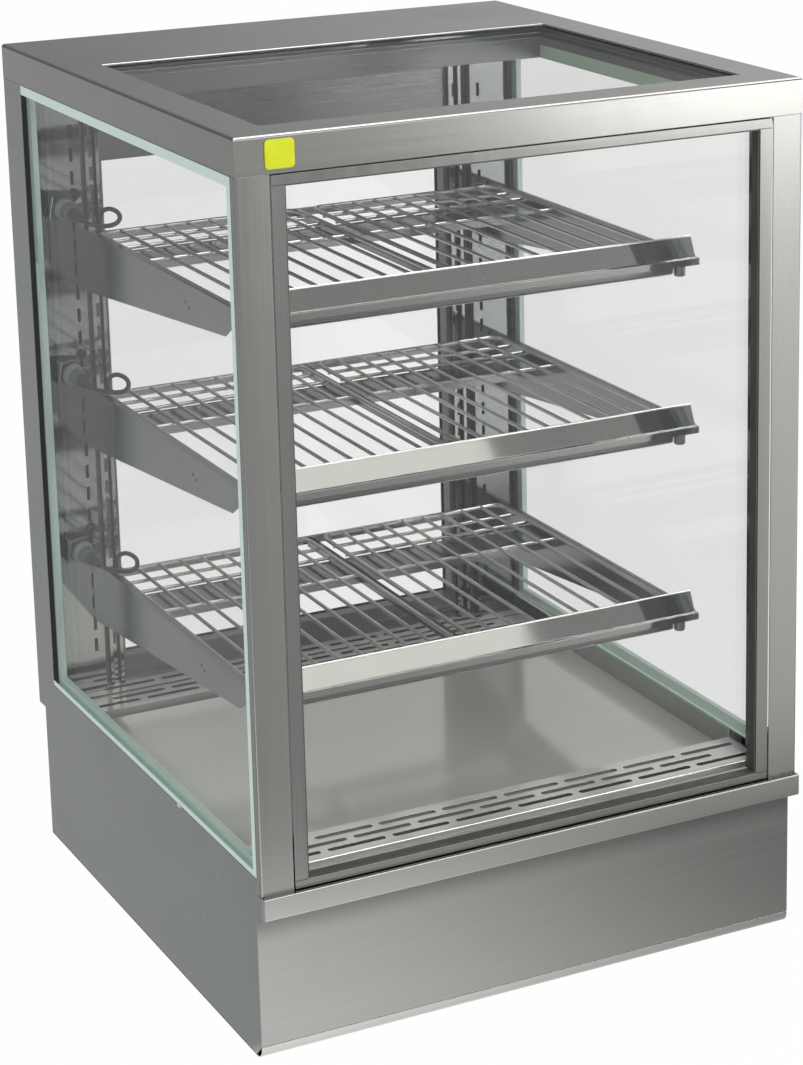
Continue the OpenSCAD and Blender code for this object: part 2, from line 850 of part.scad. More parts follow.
module front_gasket() {
    color(dark) placed() along_y(front_face_y + sheet_t, pane_front_y - seam)
        ring([-front_open_half, front_open_z0], [front_open_half, front_open_z1],
            [-front_open_half + gasket_t, front_open_z0 + gasket_t],
            [front_open_half - gasket_t, front_open_z1 - gasket_t]);
}

module front_pivot_brackets() {
    color(steel) placed() for (side = [0, 1]) mirror([side, 0, 0]) difference() {
        block([bracket_half, sheet_t + seam, lip_top_z],
            [half_w - post_tube_w - seam, bracket_rear_y, lip_top_z + bracket_h]);
        bar_x(bracket_half - overrun, half_w, pivot_y, pivot_z, pivot_r + running);
    }
}

// Rear door

module rear_door_frame() {
    low = [-door_half, door_foot_z];
    high = [door_half, door_head_z];
    open_low = [-door_glass_half, door_glass_foot_z];
    open_high = [door_glass_half, door_glass_head_z];
    wall = [sheet_t, sheet_t];
    lap = [door_lap, door_lap];
    flange = lap + [door_flange_w, door_flange_w];
    color(steel) placed() difference() {
        union() {
            along_y(door_rear_y - sheet_t, door_rear_y) ring(low, high, open_low, open_high);
            along_y(door_front_y, door_rear_y) ring(low, high, low + wall, high - wall);
            along_y(door_front_y, door_rear_y)
                ring(open_low - lap - wall, open_high + lap + wall, open_low - lap, open_high + lap);
            along_y(door_front_y, door_front_y + sheet_t)
                ring(open_low - flange, open_high + flange, open_low - lap, open_high + lap);
            for (z = [door_foot_z, door_head_z - 2 * hinge_reach]) translate([hinge_x, hinge_y, z])
                cylinder(h = 2 * hinge_reach, r = hinge_r + 2 * sheet_t);
        }
        for (z = [door_foot_z - overrun, door_head_z - hinge_reach - overrun])
            translate([hinge_x, hinge_y, z]) cylinder(h = hinge_reach + 2 * overrun, r = hinge_r + running);
        block([pull_x - pull_w / 2 - seam, door_rear_y - sheet_t - overrun, pull_z - pull_h / 2 - seam],
            [pull_x + pull_w / 2 + seam, door_rear_y + overrun, pull_z + pull_h / 2 + seam]);
    }
}

module rear_door_pins() {
    foot_z = base_h + seam + sheet_t;
    color(bright_steel) placed() {
        translate([hinge_x, hinge_y, foot_z])
            cylinder(h = door_foot_z + hinge_reach - foot_z - overrun, r = hinge_r);
        translate([hinge_x, hinge_y, door_head_z - hinge_reach + overrun])
            cylinder(h = body_top_z - door_head_z + hinge_reach - overrun, r = hinge_r);
    }
}

module rear_door_glass() {
    grow = door_lap - seam;
    color(glass_tint) placed()
        block([-door_glass_half - grow, door_rear_y - sheet_t - seam - door_pane_t, door_glass_foot_z - grow],
            [door_glass_half + grow, door_rear_y - sheet_t - seam, door_glass_head_z + grow]);
}

module rear_door_gasket() {
    near = [door_lap + door_gasket_in, door_lap + door_gasket_in];
    far = near + [door_gasket_w, door_gasket_w];
    open_low = [-door_glass_half, door_glass_foot_z];
    open_high = [door_glass_half, door_glass_head_z];
    color(dark) placed() along_y(base_rear_y + 2 * seam, door_front_y - seam)
        ring(open_low - far, open_high + far, open_low - near, open_high + near);
}

module rear_door_pull() {
    rim = [pull_flange, pull_flange];
    low = [pull_x - pull_w / 2, pull_z - pull_h / 2];
    high = [pull_x + pull_w / 2, pull_z + pull_h / 2];
    wall = [sheet_t, sheet_t];
    color(dark) placed() difference() {
        union() {
            along_y(door_rear_y - pull_depth, door_rear_y) plate(low, high);
            along_y(door_rear_y, door_rear_y + sheet_t) plate(low - rim, high + rim);
        }
        along_y(door_rear_y - pull_depth + sheet_t, door_rear_y + sheet_t + overrun)
            plate(low + wall, high - wall);
    }
}

// Shelves, drawn with Z from the shelf's top plane

function shelf_z(level) = slot_first_z + shelf_slots[level] * slot_pitch + shelf_over_slot;

module on_shelf(level) {
    placed() translate([0, 0, shelf_z(level)]) children();
}

module shelf_arm() {
    x0 = -arm_half;
    x1 = x0 + arm_t;
    hook_y = panel_face_y + sheet_t + hook_gap;
    lower_z = -lower_tongue_slots * slot_pitch - tongue_h / 2;
    along_x(x0, x1) {
        polygon([[arm_rear_y, 0], [arm_rear_y, -arm_rear_h], [chamfer_foot_y, -arm_front_h],
            [rail_flange_y - nose_lap, rail_foot_z], [arm_front_y, rail_foot_z], [arm_front_y, 0]]);
        plate([arm_rear_y - overrun, -tongue_h], [hook_y + hook_t, 0]);
        plate([hook_y, -tongue_h - hook_drop], [hook_y + hook_t, 0]);
        plate([arm_rear_y - overrun, lower_z], [panel_face_y + lower_tongue_out, lower_z + tongue_h]);
    }
    block([x0, arm_front_y, -arm_t], [x0 + arm_flange_w, arm_rear_y - 2 * sheet_t, 0]);
}

module shelf_frame(level) {
    x1 = arm_half - arm_t / 2;
    on_shelf(level) {
        shelf_arm();
        other_side() shelf_arm();
        along_x(-x1, x1) difference() {
            plate([channel_y, -support_z - channel_fold_h], [channel_y + channel_w, -support_z]);
            plate([channel_y + support_t, -support_z - channel_fold_h - overrun],
                [channel_y + channel_w - support_t, -support_z - support_t]);
        }
        block([-x1, tie_y, -support_z - tie_w / 2], [x1, tie_y + tie_w, -tie_w / 2]);
        block([-center_bar_half, rail_flange_y + seam, -support_z - tie_w],
            [center_bar_half, tie_y + overrun, -support_z]);
        block([-x1, tie_y, -tie_w], [-x1 + gusset_w, tie_y + gusset_l, 0]);
    }
}

module ticket_rail(level) {
    y0 = shelf_front;
    step_y = y0 + rail_step;
    t = rail_sheet_t;
    lean_t = t / cos(rail_lean);
    lip_z = rail_lip_top_z;
    face_half = arm_half - rail_face_inset;
    flange_half = arm_half - arm_flange_w;
    on_shelf(level) {
        along_x(-arm_half, arm_half) {
            plate([y0, rail_foot_z], [y0 + t, lip_z]);
            plate([y0, lip_z - t], [step_y + lean_t, lip_z]);
        }
        along_x(-face_half, face_half) polygon([[step_y, lip_z - t], [step_y, lip_z],
            [step_y + rail_lean_y, rail_up], [step_y + rail_lean_y + lean_t, rail_up],
            [step_y + lean_t, lip_z], [step_y + lean_t, lip_z - t]]);
        block([-flange_half, y0, rail_foot_z], [flange_half, rail_flange_y, -support_z]);
    }
}

module shelf_lamp(level) {
    top_z = rail_foot_z - seam;
    on_shelf(level) {
        along_x(-lamp_half, lamp_half) polygon([[lamp_y, top_z], [lamp_y, top_z - lamp_h * 2 / 3],
            [lamp_y + lamp_h / 3, top_z - lamp_h], [lamp_y + lamp_d - lamp_h / 3, top_z - lamp_h],
            [lamp_y + lamp_d, top_z - lamp_h * 2 / 3], [lamp_y + lamp_d, top_z]]);
        for (x = [-screw_x, screw_x]) translate([x, screw_y, top_z - screw_h]) {
            cylinder(h = screw_bevel, r1 = screw_r - screw_bevel, r2 = screw_r);
            translate([0, 0, screw_bevel]) cylinder(h = screw_h - screw_bevel, r = screw_r);
        }
    }
}

// A rack's rod ring has round corners and lies with its top on the shelf's top plane
module rack() {
    r = rack_rod_d / 2;
    x0 = rack_in + r;
    x1 = rack_out - r;
    y0 = rack_front_y;
    y1 = rack_rear_y - r;
    c = rack_corner_r;
    gaps = round((x1 - x0) / rack_pitch);
    bar_x(x0 + c, x1 - c, y0, -r, r);
    bar_x(x0 + c, x1 - c, y1, -r, r);
    bar_y(x0, y0 + c, y1 - c, -r, r);
    bar_y(x1, y0 + c, y1 - c, -r, r);
    for (place = [[x0 + c, y0 + c, 180], [x1 - c, y0 + c, 270], [x1 - c, y1 - c, 0], [x0 + c, y1 - c, 90]])
        translate([place[0], place[1], -r]) rotate([0, 0, place[2]]) rotate_extrude(angle = 90)
            translate([c, 0]) circle(r);
    for (k = [1 : gaps - 1]) bar_y(x0 + k * (x1 - x0) / gaps, y0, y1, -rack_wire_d / 2, rack_wire_d / 2);
    for (share = cross_rod_shares)
        bar_x(x0, x1, y0 + share * (y1 - y0), -cross_rod_drop, cross_rod_d / 2);
}

module rack_pair(level) {
    on_shelf(level) {
        rack();
        other_side() rack();
    }
}

module shelf_frame_top() {
    color(steel) shelf_frame(2);
}

module shelf_frame_middle() {
    color(steel) shelf_frame(1);
}

module shelf_frame_bottom() {
    color(steel) shelf_frame(0);
}

module ticket_rail_top() {
    color(bright_steel) ticket_rail(2);
}

module ticket_rail_middle() {
    color(bright_steel) ticket_rail(1);
}

module ticket_rail_bottom() {
    color(bright_steel) ticket_rail(0);
}

module shelf_lamp_top() {
    color(bright_steel) shelf_lamp(2);
}

module shelf_lamp_middle() {
    color(bright_steel) shelf_lamp(1);
}

module shelf_lamp_bottom() {
    color(bright_steel) shelf_lamp(0);
}

module rack_pair_top() {
    color(bright_steel) rack_pair(2);
}

module rack_pair_middle() {
    color(bright_steel) rack_pair(1);
}

module rack_pair_bottom() {
    color(bright_steel) rack_pair(0);
}

// Lamp sockets, plugs, locking rings and leads

// Children lie along -Y from the centre of a collar, which the socket turns inward and down
module at_socket(level) {
    on_shelf(level) translate([socket_x, panel_face_y - socket_out, socket_ups[level]])
        rotate([socket_pitch, 0, socket_yaw]) children();
}

module lead_socket(level) {
    half = socket_side / 2;
    face = collar_l / 2 + socket_seal_t;
    difference() {
        at_socket(level) {
            block([-half, face, -half], [half, socket_block_l, half]);
            bar_y(0, -collar_l / 2, face + overrun, 0, socket_nose_r);
        }
        placed() block([-half_w, panel_face_y, 0], [0, cabinet_d, cabinet_h]);
    }
}

module lead_sockets() {
    color(bright_steel) for (level = [0 : 2]) lead_socket(level);
}

module lead_collars() {
    color([0.45, 0.48, 0.5]) for (level = [0 : 2]) at_socket(level) difference() {
        bar_y(0, -collar_l / 2, collar_l / 2, 0, collar_r);
        bar_y(0, -collar_l / 2 - overrun, collar_l / 2 + overrun, 0, socket_nose_r + seam);
    }
}

module lead_plugs() {
    front = -collar_l / 2 - seam;
    color(dark) for (level = [0 : 2]) at_socket(level) {
        bar_y(0, front - plug_l, front, 0, plug_r);
        translate([0, front - plug_l + overrun, 0]) rotate([90, 0, 0])
            cylinder(h = boot_l + overrun, r1 = boot_r, r2 = boot_end_r);
    }
}

// Sweeps a ring of points along a route, turning each ring only as much as the route turns
function unit(v) = v / norm(v);
function turned(normal, t) = unit(normal - (normal * t) * t);
function tangent(route, i) =
    let (last = len(route) - 1)
    i == 0 ? unit(route[1] - route[0])
    : i == last ? unit(route[last] - route[last - 1])
    : unit(unit(route[i] - route[i - 1]) + unit(route[i + 1] - route[i]));
function normals(route, i = 0, found = []) =
    i == len(route) ? found
    : let (t = tangent(route, i), before = i == 0 ? [0, 0, 1] : found[i - 1])
    normals(route, i + 1, concat(found, [turned(before, t)]));
function ring_points(route, r) =
    let (across = normals(route))
    [for (i = [0 : len(route) - 1], s = [0 : lead_sides - 1])
        let (t = tangent(route, i), a = 360 * s / lead_sides)
        route[i] + r * (cos(a) * across[i] + sin(a) * cross(t, across[i]))];
function tube_faces(rings) = concat(
    [for (i = [0 : rings - 2], s = [0 : lead_sides - 1], half = [0, 1])
        let (a = i * lead_sides + s, b = i * lead_sides + (s + 1) % lead_sides)
        half == 0 ? [a, a + lead_sides, b] : [b, a + lead_sides, b + lead_sides]],
    [for (s = [1 : lead_sides - 2]) [0, s, s + 1]],
    [for (s = [1 : lead_sides - 2]) let (e = (rings - 1) * lead_sides) [e, e + s + 1, e + s]]);

module lead_cord(level) {
    route = [for (p = lead_routes[level]) [p[0], p[1] + panel_face_y, p[2]]];
    color(dark) on_shelf(level) polyhedron(ring_points(route, lead_d / 2), tube_faces(len(route)));
}

module lead_cord_top() {
    lead_cord(2);
}

module lead_cord_middle() {
    lead_cord(1);
}

module lead_cord_bottom() {
    lead_cord(0);
}

// Heating and controls in the base

module plenum_plate() {
    y0 = base_setback + sheet_t + seam;
    y1 = base_rear_y - sheet_t - seam;
    color(steel) placed() {
        along_z(plenum_z, plenum_z + sheet_t) difference() {
            plate([-inner_half, y0], [inner_half, y1]);
            translate([0, fan_y]) circle(fan_side / 2 - fan_wall);
        }
        for (x = [-inner_half, inner_half - sheet_t])
            block([x, y0, plenum_z - plenum_fold_h], [x + sheet_t, y1, plenum_z + sheet_t]);
    }
}

module fan_frame() {
    z0 = plenum_z - fan_h;
    bore_r = fan_side / 2 - fan_wall;
    color(dark) placed() translate([0, fan_y, z0]) {
        difference() {
            block([-fan_side / 2, -fan_side / 2, 0], [fan_side / 2, fan_side / 2, fan_h]);
            translate([0, 0, -overrun]) cylinder(h = fan_h + 2 * overrun, r = bore_r);
        }
        cylinder(h = fan_boss_h, r = fan_hub_r);
        cylinder(h = fan_h - fan_boss_h, r = fan_shaft_r);
        for (a = [45 : 90 : 315]) rotate([0, 0, a])
            block([fan_hub_r - overrun, -fan_strut_w / 2, 0],
                [bore_r + overrun, fan_strut_w / 2, fan_boss_h]);
    }
}

module fan_impeller() {
    z0 = plenum_z - fan_h + fan_boss_h + overrun;
    hub_h = fan_h - 2 * fan_boss_h - overrun;
    tip_r = fan_side / 2 - fan_wall - fan_tip_gap;
    color(dark) placed() translate([0, fan_y, z0]) difference() {
        union() {
            cylinder(h = hub_h, r = fan_hub_r);
            intersection() {
                cylinder(h = hub_h, r = tip_r);
                for (k = [0 : fan_blades - 1]) rotate([0, 0, k * 360 / fan_blades])
                    translate([0, 0, hub_h / 2]) rotate([fan_blade_tilt, 0, 0])
                        block([fan_hub_r - overrun, -hub_h, -fan_blade_t / 2],
                            [tip_r + overrun, hub_h, fan_blade_t / 2]);
            }
        }
        translate([0, 0, -overrun]) cylinder(h = hub_h + 2 * overrun, r = fan_shaft_r + running);
    }
}

module heating_element() {
    r = element_d / 2;
    turn_r = element_leg / 2;
    half = element_span / 2;
    post_z = plenum_z + sheet_t;
    post_y0 = element_y - element_post_w;
    post_y1 = element_y + (element_legs - 1) * element_leg + element_post_w;
    color([0.4, 0.36, 0.33]) placed() {
        for (k = [0 : element_legs - 1]) bar_x(-half, half, element_y + k * element_leg, element_z, r);
        for (k = [0 : element_legs - 2])
            translate([k % 2 == 0 ? half : -half, element_y + (k + 0.5) * element_leg, element_z])
                rotate([0, 0, k % 2 == 0 ? -90 : 90]) rotate_extrude(angle = 180)
                    translate([turn_r, 0]) circle(r);
        for (x = [-half / 2, half / 2])
            block([x - element_post_t / 2, post_y0, post_z], [x + element_post_t / 2, post_y1, element_z]);
    }
}

// A rocker's housing is open to the rear and carries its two pins
module rocker_housing(x) {
    room_w = rocker_w / 2 + rocker_play;
    room_h = rocker_h / 2 + rocker_room;
    y0 = base_rear_y - rocker_in - 2 * rocker_pin_r;
    translate([x, 0, control_z]) difference() {
        block([-room_w - rocker_wall, y0, -room_h - rocker_wall],
            [room_w + rocker_wall, base_rear_y + control_t + rocker_wall / 2, room_h + rocker_wall]);
        block([-room_w, y0 - overrun, -room_h], [room_w, base_rear_y + rocker_in, room_h]);
        bar_x(-half_w, half_w, base_rear_y - rocker_in + rocker_pin_r, 0, rocker_pin_r + running);
    }
}

module rocker(x) {
    pivot_back = base_rear_y - rocker_in + rocker_pin_r;
    face_y = base_rear_y + control_t + rocker_out - pivot_back;
    pin_half = rocker_w / 2 + rocker_play + rocker_wall - running;
    color(dark) placed() translate([x, pivot_back, control_z]) rotate([-rocker_tilt, 0, 0]) {
        along_x(-rocker_w / 2, rocker_w / 2) polygon([
            [-2 * rocker_pin_r, -rocker_pin_r], [-2 * rocker_pin_r, rocker_pin_r],
            [face_y - rocker_out, rocker_h / 2], [face_y, rocker_h / 2], [face_y - rocker_out / 2, 0],
            [face_y, -rocker_h / 2], [face_y - rocker_out, -rocker_h / 2]]);
        bar_x(-pin_half, pin_half, 0, 0, rocker_pin_r);
    }
}

module control_panel() {
    z0 = control_z - control_h / 2;
    room_w = rocker_w / 2 + rocker_play;
    room_h = rocker_h / 2 + rocker_room;
    color(steel) placed() {
        difference() {
            union() {
                block([control_x, base_rear_y, z0],
                    [control_x + control_w, base_rear_y + control_t, z0 + control_h]);
                bar_y(knob_x, base_rear_y - knob_boss_l, base_rear_y + overrun, control_z, knob_boss_r);
            }
            bar_y(knob_x, base_rear_y - knob_boss_l - overrun, cabinet_d, control_z, knob_shaft_r + running);
            for (x = [power_x, light_x])
                block([x - room_w, base_rear_y - overrun, control_z - room_h],
                    [x + room_w, base_rear_y + control_t + overrun, control_z + room_h]);
        }
        rocker_housing(power_x);
        rocker_housing(light_x);
    }
}

module thermostat_knob() {
    y0 = base_rear_y + control_t + seam;
    color(dark) placed() {
        difference() {
            bar_y(knob_x, y0, y0 + knob_l, control_z, knob_d / 2);
            for (k = [0 : knob_flutes - 1]) {
                a = (k + 0.5) * 360 / knob_flutes;
                bar_y(knob_x + knob_d / 2 * cos(a), y0 + knob_l / 3, y0 + knob_l + overrun,
                    control_z + knob_d / 2 * sin(a), knob_flute_r);
            }
        }
        bar_y(knob_x, base_rear_y - knob_boss_l, y0 + overrun, control_z, knob_shaft_r);
    }
}

module power_switch() {
    rocker(power_x);
}

module light_switch() {
    rocker(light_x);
}

module cord_gland() {
    y1 = base_rear_y;
    y0 = y1 - sheet_t - gland_nut_l - gland_hex_l;
    hex_y = y1 + gland_hex_l;
    end_y = hex_y + gland_dome_l;
    color(dark) placed() difference() {
        union() {
            bar_y(gland_x, y0, y1 + overrun, gland_z, gland_nose_r);
            bar_y(gland_x, y1, hex_y, gland_z, gland_hex_r, $fn = 6);
            bar_y(gland_x, y1 - sheet_t - gland_nut_l, y1 - sheet_t, gland_z, gland_hex_r, $fn = 6);
            bar_y(gland_x, hex_y - overrun, end_y, gland_z, gland_dome_r);
        }
        bar_y(gland_x, y0 - overrun, end_y + overrun, gland_z, gland_bore_r);
    }
}

base_floor();
base_front_panel();
base_rear_panel();
side_panel_left();
side_panel_right();
front_lip();
front_post_left();
front_post_right();
top_frame();
top_liner();
top_glass();
side_glass_left();
side_glass_right();
side_spacer_left();
side_spacer_right();
rear_frame();
slotted_panel_left();
slotted_panel_right();
upright_left();
upright_right();
deck_pan();
front_air_grille();
rear_air_grille();
badge_plate();
lead_sockets();
lead_plugs();
lead_collars();
heating_element();
fan_frame();
plenum_plate();
control_panel();
cord_gland();
front_pivot_brackets();
rear_door_pins();
fan_impeller();
thermostat_knob();
power_switch();
light_switch();
front_glass_frame();
front_glass();
front_gasket();
rear_door_frame();
rear_door_glass();
rear_door_gasket();
rear_door_pull();
shelf_frame_top();
shelf_frame_middle();
shelf_frame_bottom();
ticket_rail_top();
ticket_rail_middle();
ticket_rail_bottom();
shelf_lamp_top();
shelf_lamp_middle();
shelf_lamp_bottom();
rack_pair_top();
rack_pair_middle();
rack_pair_bottom();
lead_cord_top();
lead_cord_middle();
lead_cord_bottom();
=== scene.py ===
"""Looks of a hot food merchandiser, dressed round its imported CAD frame.

Lengths are in metres in the row frame: the origin lies under the middle of the cabinet, +Z is up and
-Y is the customer's side. "Behind the posts" is a depth measured from the front face of the posts.
"""

from __future__ import annotations

import json
import logging
import math
from dataclasses import dataclass, field
from enum import Enum
from typing import Any, Iterable, Sequence

import bmesh
import bpy
import numpy as np
from mathutils import Matrix, Vector

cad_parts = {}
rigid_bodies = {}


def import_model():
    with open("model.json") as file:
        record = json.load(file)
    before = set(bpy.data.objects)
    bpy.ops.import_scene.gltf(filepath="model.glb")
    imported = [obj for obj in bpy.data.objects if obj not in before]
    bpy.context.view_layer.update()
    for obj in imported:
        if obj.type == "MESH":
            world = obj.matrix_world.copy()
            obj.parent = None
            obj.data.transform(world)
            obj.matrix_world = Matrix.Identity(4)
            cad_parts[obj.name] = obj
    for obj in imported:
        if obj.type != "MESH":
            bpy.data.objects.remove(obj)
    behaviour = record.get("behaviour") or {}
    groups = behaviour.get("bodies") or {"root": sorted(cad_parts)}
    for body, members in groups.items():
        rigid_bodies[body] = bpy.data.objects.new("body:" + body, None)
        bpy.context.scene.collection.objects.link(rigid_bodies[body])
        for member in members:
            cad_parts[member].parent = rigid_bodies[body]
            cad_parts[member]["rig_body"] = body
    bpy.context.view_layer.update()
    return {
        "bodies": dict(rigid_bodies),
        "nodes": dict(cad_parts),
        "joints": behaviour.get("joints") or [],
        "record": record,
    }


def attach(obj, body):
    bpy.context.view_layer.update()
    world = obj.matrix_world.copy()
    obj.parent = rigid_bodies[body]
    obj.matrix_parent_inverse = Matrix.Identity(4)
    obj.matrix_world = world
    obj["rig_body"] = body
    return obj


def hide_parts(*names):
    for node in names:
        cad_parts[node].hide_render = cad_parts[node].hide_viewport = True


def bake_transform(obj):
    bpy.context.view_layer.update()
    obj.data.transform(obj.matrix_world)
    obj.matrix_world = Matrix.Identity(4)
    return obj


LOG = logging.getLogger("merchandiser")
Colour = tuple[float, float, float]
Point = tuple[float, float, float]
Pair = tuple[float, float]
Pairs = tuple[Pair, ...]
Piece = bpy.types.Object
Grid = tuple[np.ndarray, np.ndarray]

POST_FACE = -0.31675
HALF_WIDTH = 0.300
DEPTH = 0.640
HEIGHT = 0.904
BODY_TOP = 0.868
BASE_TOP = 0.153
LIP_TOP = 0.176
WINDOW_FOOT = 0.191
PANEL_FACE = POST_FACE + 0.5897
ARM_FACE = 0.247


class Level(Enum):
    """The three shelves by the height of their top plane."""

    BOTTOM = 0.330
    MIDDLE = 0.5332
    TOP = 0.711

    @property
    def word(self) -> str:
        """The level's name as the nodes spell it."""
        return self.name.lower()

    @property
    def socket_height(self) -> float:
        """How far the lamp socket's centre lies over the shelf's plane."""
        return 0.0205 if self is Level.TOP else 0.0145


class Side(Enum):
    """The two sides of the cabinet by their sign along X."""

    LEFT = -1
    RIGHT = 1

    @property
    def word(self) -> str:
        """The side's name as the nodes spell it."""
        return self.name.lower()

    @property
    def wall(self) -> float:
        """X of the cabinet's outer face on this side."""
        return self.value * HALF_WIDTH


class Grain(Enum):
    """Direction of a sheet's brushing, as how often per metre its lines repeat along X, Y and Z."""

    ALONG_X = (4.0, 900.0, 900.0)
    ALONG_Y = (900.0, 4.0, 900.0)
    ALONG_Z = (900.0, 900.0, 4.0)
    NONE = (420.0, 420.0, 420.0)


def behind(depth: float) -> float:
    """Turns a depth behind the front face of the posts into a Y of the row frame."""
    return POST_FACE + depth


def toned(colour: Colour, factor: float, lift: float = 0.0) -> Colour:
    """A colour whose channels are multiplied by a factor and raised by a lift."""
    return tuple(channel * factor + lift for channel in colour)


# Shader maths


class Value:
    """A number on a shader socket, whose operators add Math nodes to its tree."""

    def __init__(self, tree: bpy.types.NodeTree, socket: bpy.types.NodeSocket) -> None:
        """Keeps the tree and the socket that holds the number."""
        self.tree = tree
        self.socket = socket

    def math(self, operation: str, *others: Value | float) -> Value:
        """Adds a Math node with this value first and the others, values or numbers, after it."""
        return Value.combine(self.tree, operation, self, *others)

    @staticmethod
    def combine(tree: bpy.types.NodeTree, operation: str, *operands: Value | float) -> Value:
        """Adds a Math node on any mix of values and numbers.

        Args:
            tree: the tree that gets the node.
            operation: the node's operation.
            operands: one to three values or numbers.

        Returns:
            The node's result.
        """
        node = tree.nodes.new("ShaderNodeMath")
        node.operation = operation
        for place, operand in enumerate(operands):
            if isinstance(operand, Value):
                tree.links.new(operand.socket, node.inputs[place])
            else:
                node.inputs[place].default_value = operand
        return Value(tree, node.outputs[0])

    def __add__(self, other: Value | float) -> Value:
        """Sum."""
        return self.math("ADD", other)

    def __sub__(self, other: Value | float) -> Value:
        """Difference."""
        return self.math("SUBTRACT", other)

    def __rsub__(self, other: float) -> Value:
        """Number less this value."""
        return Value.combine(self.tree, "SUBTRACT", other, self)

    def __mul__(self, other: Value | float) -> Value:
        """Product."""
        return self.math("MULTIPLY", other)

    __radd__ = __add__
    __rmul__ = __mul__

    def between(self, first: float, last: float) -> Value:
        """Runs from one number to another while this value runs from 0 to 1."""
        return self * (last - first) + first

    def above(self, low: float, high: float) -> Value:
        """Soft step from 0 at low to 1 at high.

        Args:
            low: where the step begins.
            high: where the step ends.

        Returns:
            The eased step.
        """
        node = self.tree.nodes.new("ShaderNodeMapRange")
        node.interpolation_type = "SMOOTHSTEP"
        self.tree.links.new(self.socket, node.inputs["Value"])
        node.inputs["From Min"].default_value = low
        node.inputs["From Max"].default_value = high
        return Value(self.tree, node.outputs["Result"])


@dataclass
class Recipe:
    """The node tree of one material or of the world while it is being written."""

    tree: bpy.types.NodeTree

    def node(self, kind: str, settings: dict[str, Any] | None = None, sockets: dict[str, Any] | None = None,
             out: str | int = 0) -> Value:
        """Adds one node.

        Args:
            kind: the node's type.
            settings: attributes set first; "stops" holds a ramp's stops as (place, colour) pairs.
            sockets: values, links or constants for its inputs by name or number.
            out: which output is returned.

        Returns:
            The chosen output.
        """
        node = self.tree.nodes.new(kind)
        for key, value in (settings or {}).items():
            if key == "stops":
                for place, (position, colour) in enumerate(value):
                    if place > 1:
                        node.color_ramp.elements.new(position)
                    stop = node.color_ramp.elements[place]
                    stop.position, stop.color = position, (*colour, 1.0)
            else:
                setattr(node, key, value)
        for key, value in (sockets or {}).items():
            if isinstance(value, Value):
                self.tree.links.new(value.socket, node.inputs[key])
            elif isinstance(value, tuple) and node.inputs[key].type == "RGBA":
                node.inputs[key].default_value = (*value[:3], 1.0)
            else:
                node.inputs[key].default_value = value
        return Value(self.tree, node.outputs[out])

    def place(self) -> Value:
        """Object coordinates, which are the row frame because every piece's object sits at the origin."""
        return self.node("ShaderNodeTexCoord", out="Object")

    def axis(self, vector: Value, name: str) -> Value:
        """The X, Y or Z of a vector."""
        return self.node("ShaderNodeSeparateXYZ", sockets={"Vector": vector}, out=name)

    def scaled_place(self, scale: Sequence[float] | float) -> Value:
        """Object coordinates times how often per metre a pattern repeats, as one number or along X, Y and Z."""
        factors = (scale,) * 3 if isinstance(scale, float) else tuple(scale)
        return self.node("ShaderNodeMapping", sockets={"Vector": self.place(), "Scale": factors})

    def noise(self, scale: Sequence[float] | float, detail: float = 2.0, rough: float = 0.5) -> Value:
        """Soft noise, stretched by its scale along each axis.

        Args:
            scale: how often per metre it repeats, as one number or along X, Y and Z.
            detail: number of finer layers.
            rough: weight of the finer layers.

        Returns:
            Noise from 0 to 1, centred on 0.5.
        """
        return self.node("ShaderNodeTexNoise", sockets={
            "Vector": self.scaled_place(scale), "Scale": 1.0, "Detail": detail, "Roughness": rough})

    def ray(self, kind: str) -> Value:
        """1 for rays of one kind, such as Camera, Transmission or Glossy, and 0 for the others."""
        return self.node("ShaderNodeLightPath", out=f"Is {kind} Ray")

    def eye_ray(self) -> Value:
        """1 for rays from the eye, straight or through glass."""
        return self.ray("Camera").math("MAXIMUM", self.ray("Transmission"))

    def principled(self, sockets: dict[str, Any]) -> Value:
        """A principled shader with these sockets set."""
        return self.node("ShaderNodeBsdfPrincipled", sockets=sockets)

    def metal(self, tone: Value, rough: Value, normal: Value, share: float = 1.0) -> Value:
        """A metal shader, or one that is metal by a share."""
        return self.principled({"Base Color": tone, "Metallic": share, "Roughness": rough, "Normal": normal})

    def layered(self, share: Value, below: Value, above: Value) -> Value:
        """One shader that turns into another by a share."""
        return self.node("ShaderNodeMixShader", sockets={0: share, 1: below, 2: above})

    def blend(self, share: Value | float, first: Value | Colour, second: Value | Colour) -> Value:
        """Mixes two colours.

        Args:
            share: share of the second colour.
            first: the first colour.
            second: the second colour.

        Returns:
            The mixed colour.
        """
        mix = self.tree.nodes.new("ShaderNodeMix")
        mix.data_type = "RGBA"
        for place, value in ((0, share), (6, first), (7, second)):
            if isinstance(value, Value):
                self.tree.links.new(value.socket, mix.inputs[place])
            else:
                mix.inputs[place].default_value = (*value, 1.0) if isinstance(value, tuple) else value
        return Value(self.tree, mix.outputs[2])

    def relief(self, height: Value, depth: float, below: Value | None = None) -> Value:
        """Turns a height from 0 to 1 into a normal.

        Args:
            height: the height.
            depth: what a height of 1 stands for, in metres.
            below: a normal that the relief lies on.

        Returns:
            The normal.
        """
        sockets: dict[str, Any] = {"Height": height, "Distance": depth, "Strength": 1.0}
        if below is not None:
            sockets["Normal"] = below
        return self.node("ShaderNodeBump", sockets=sockets)

    def surface(self, shader: Value) -> None:
        """Links a shader to a new output of the tree."""
        output = self.tree.nodes.new("ShaderNodeOutputMaterial")
        self.tree.links.new(shader.socket, output.inputs["Surface"])


# Finishes


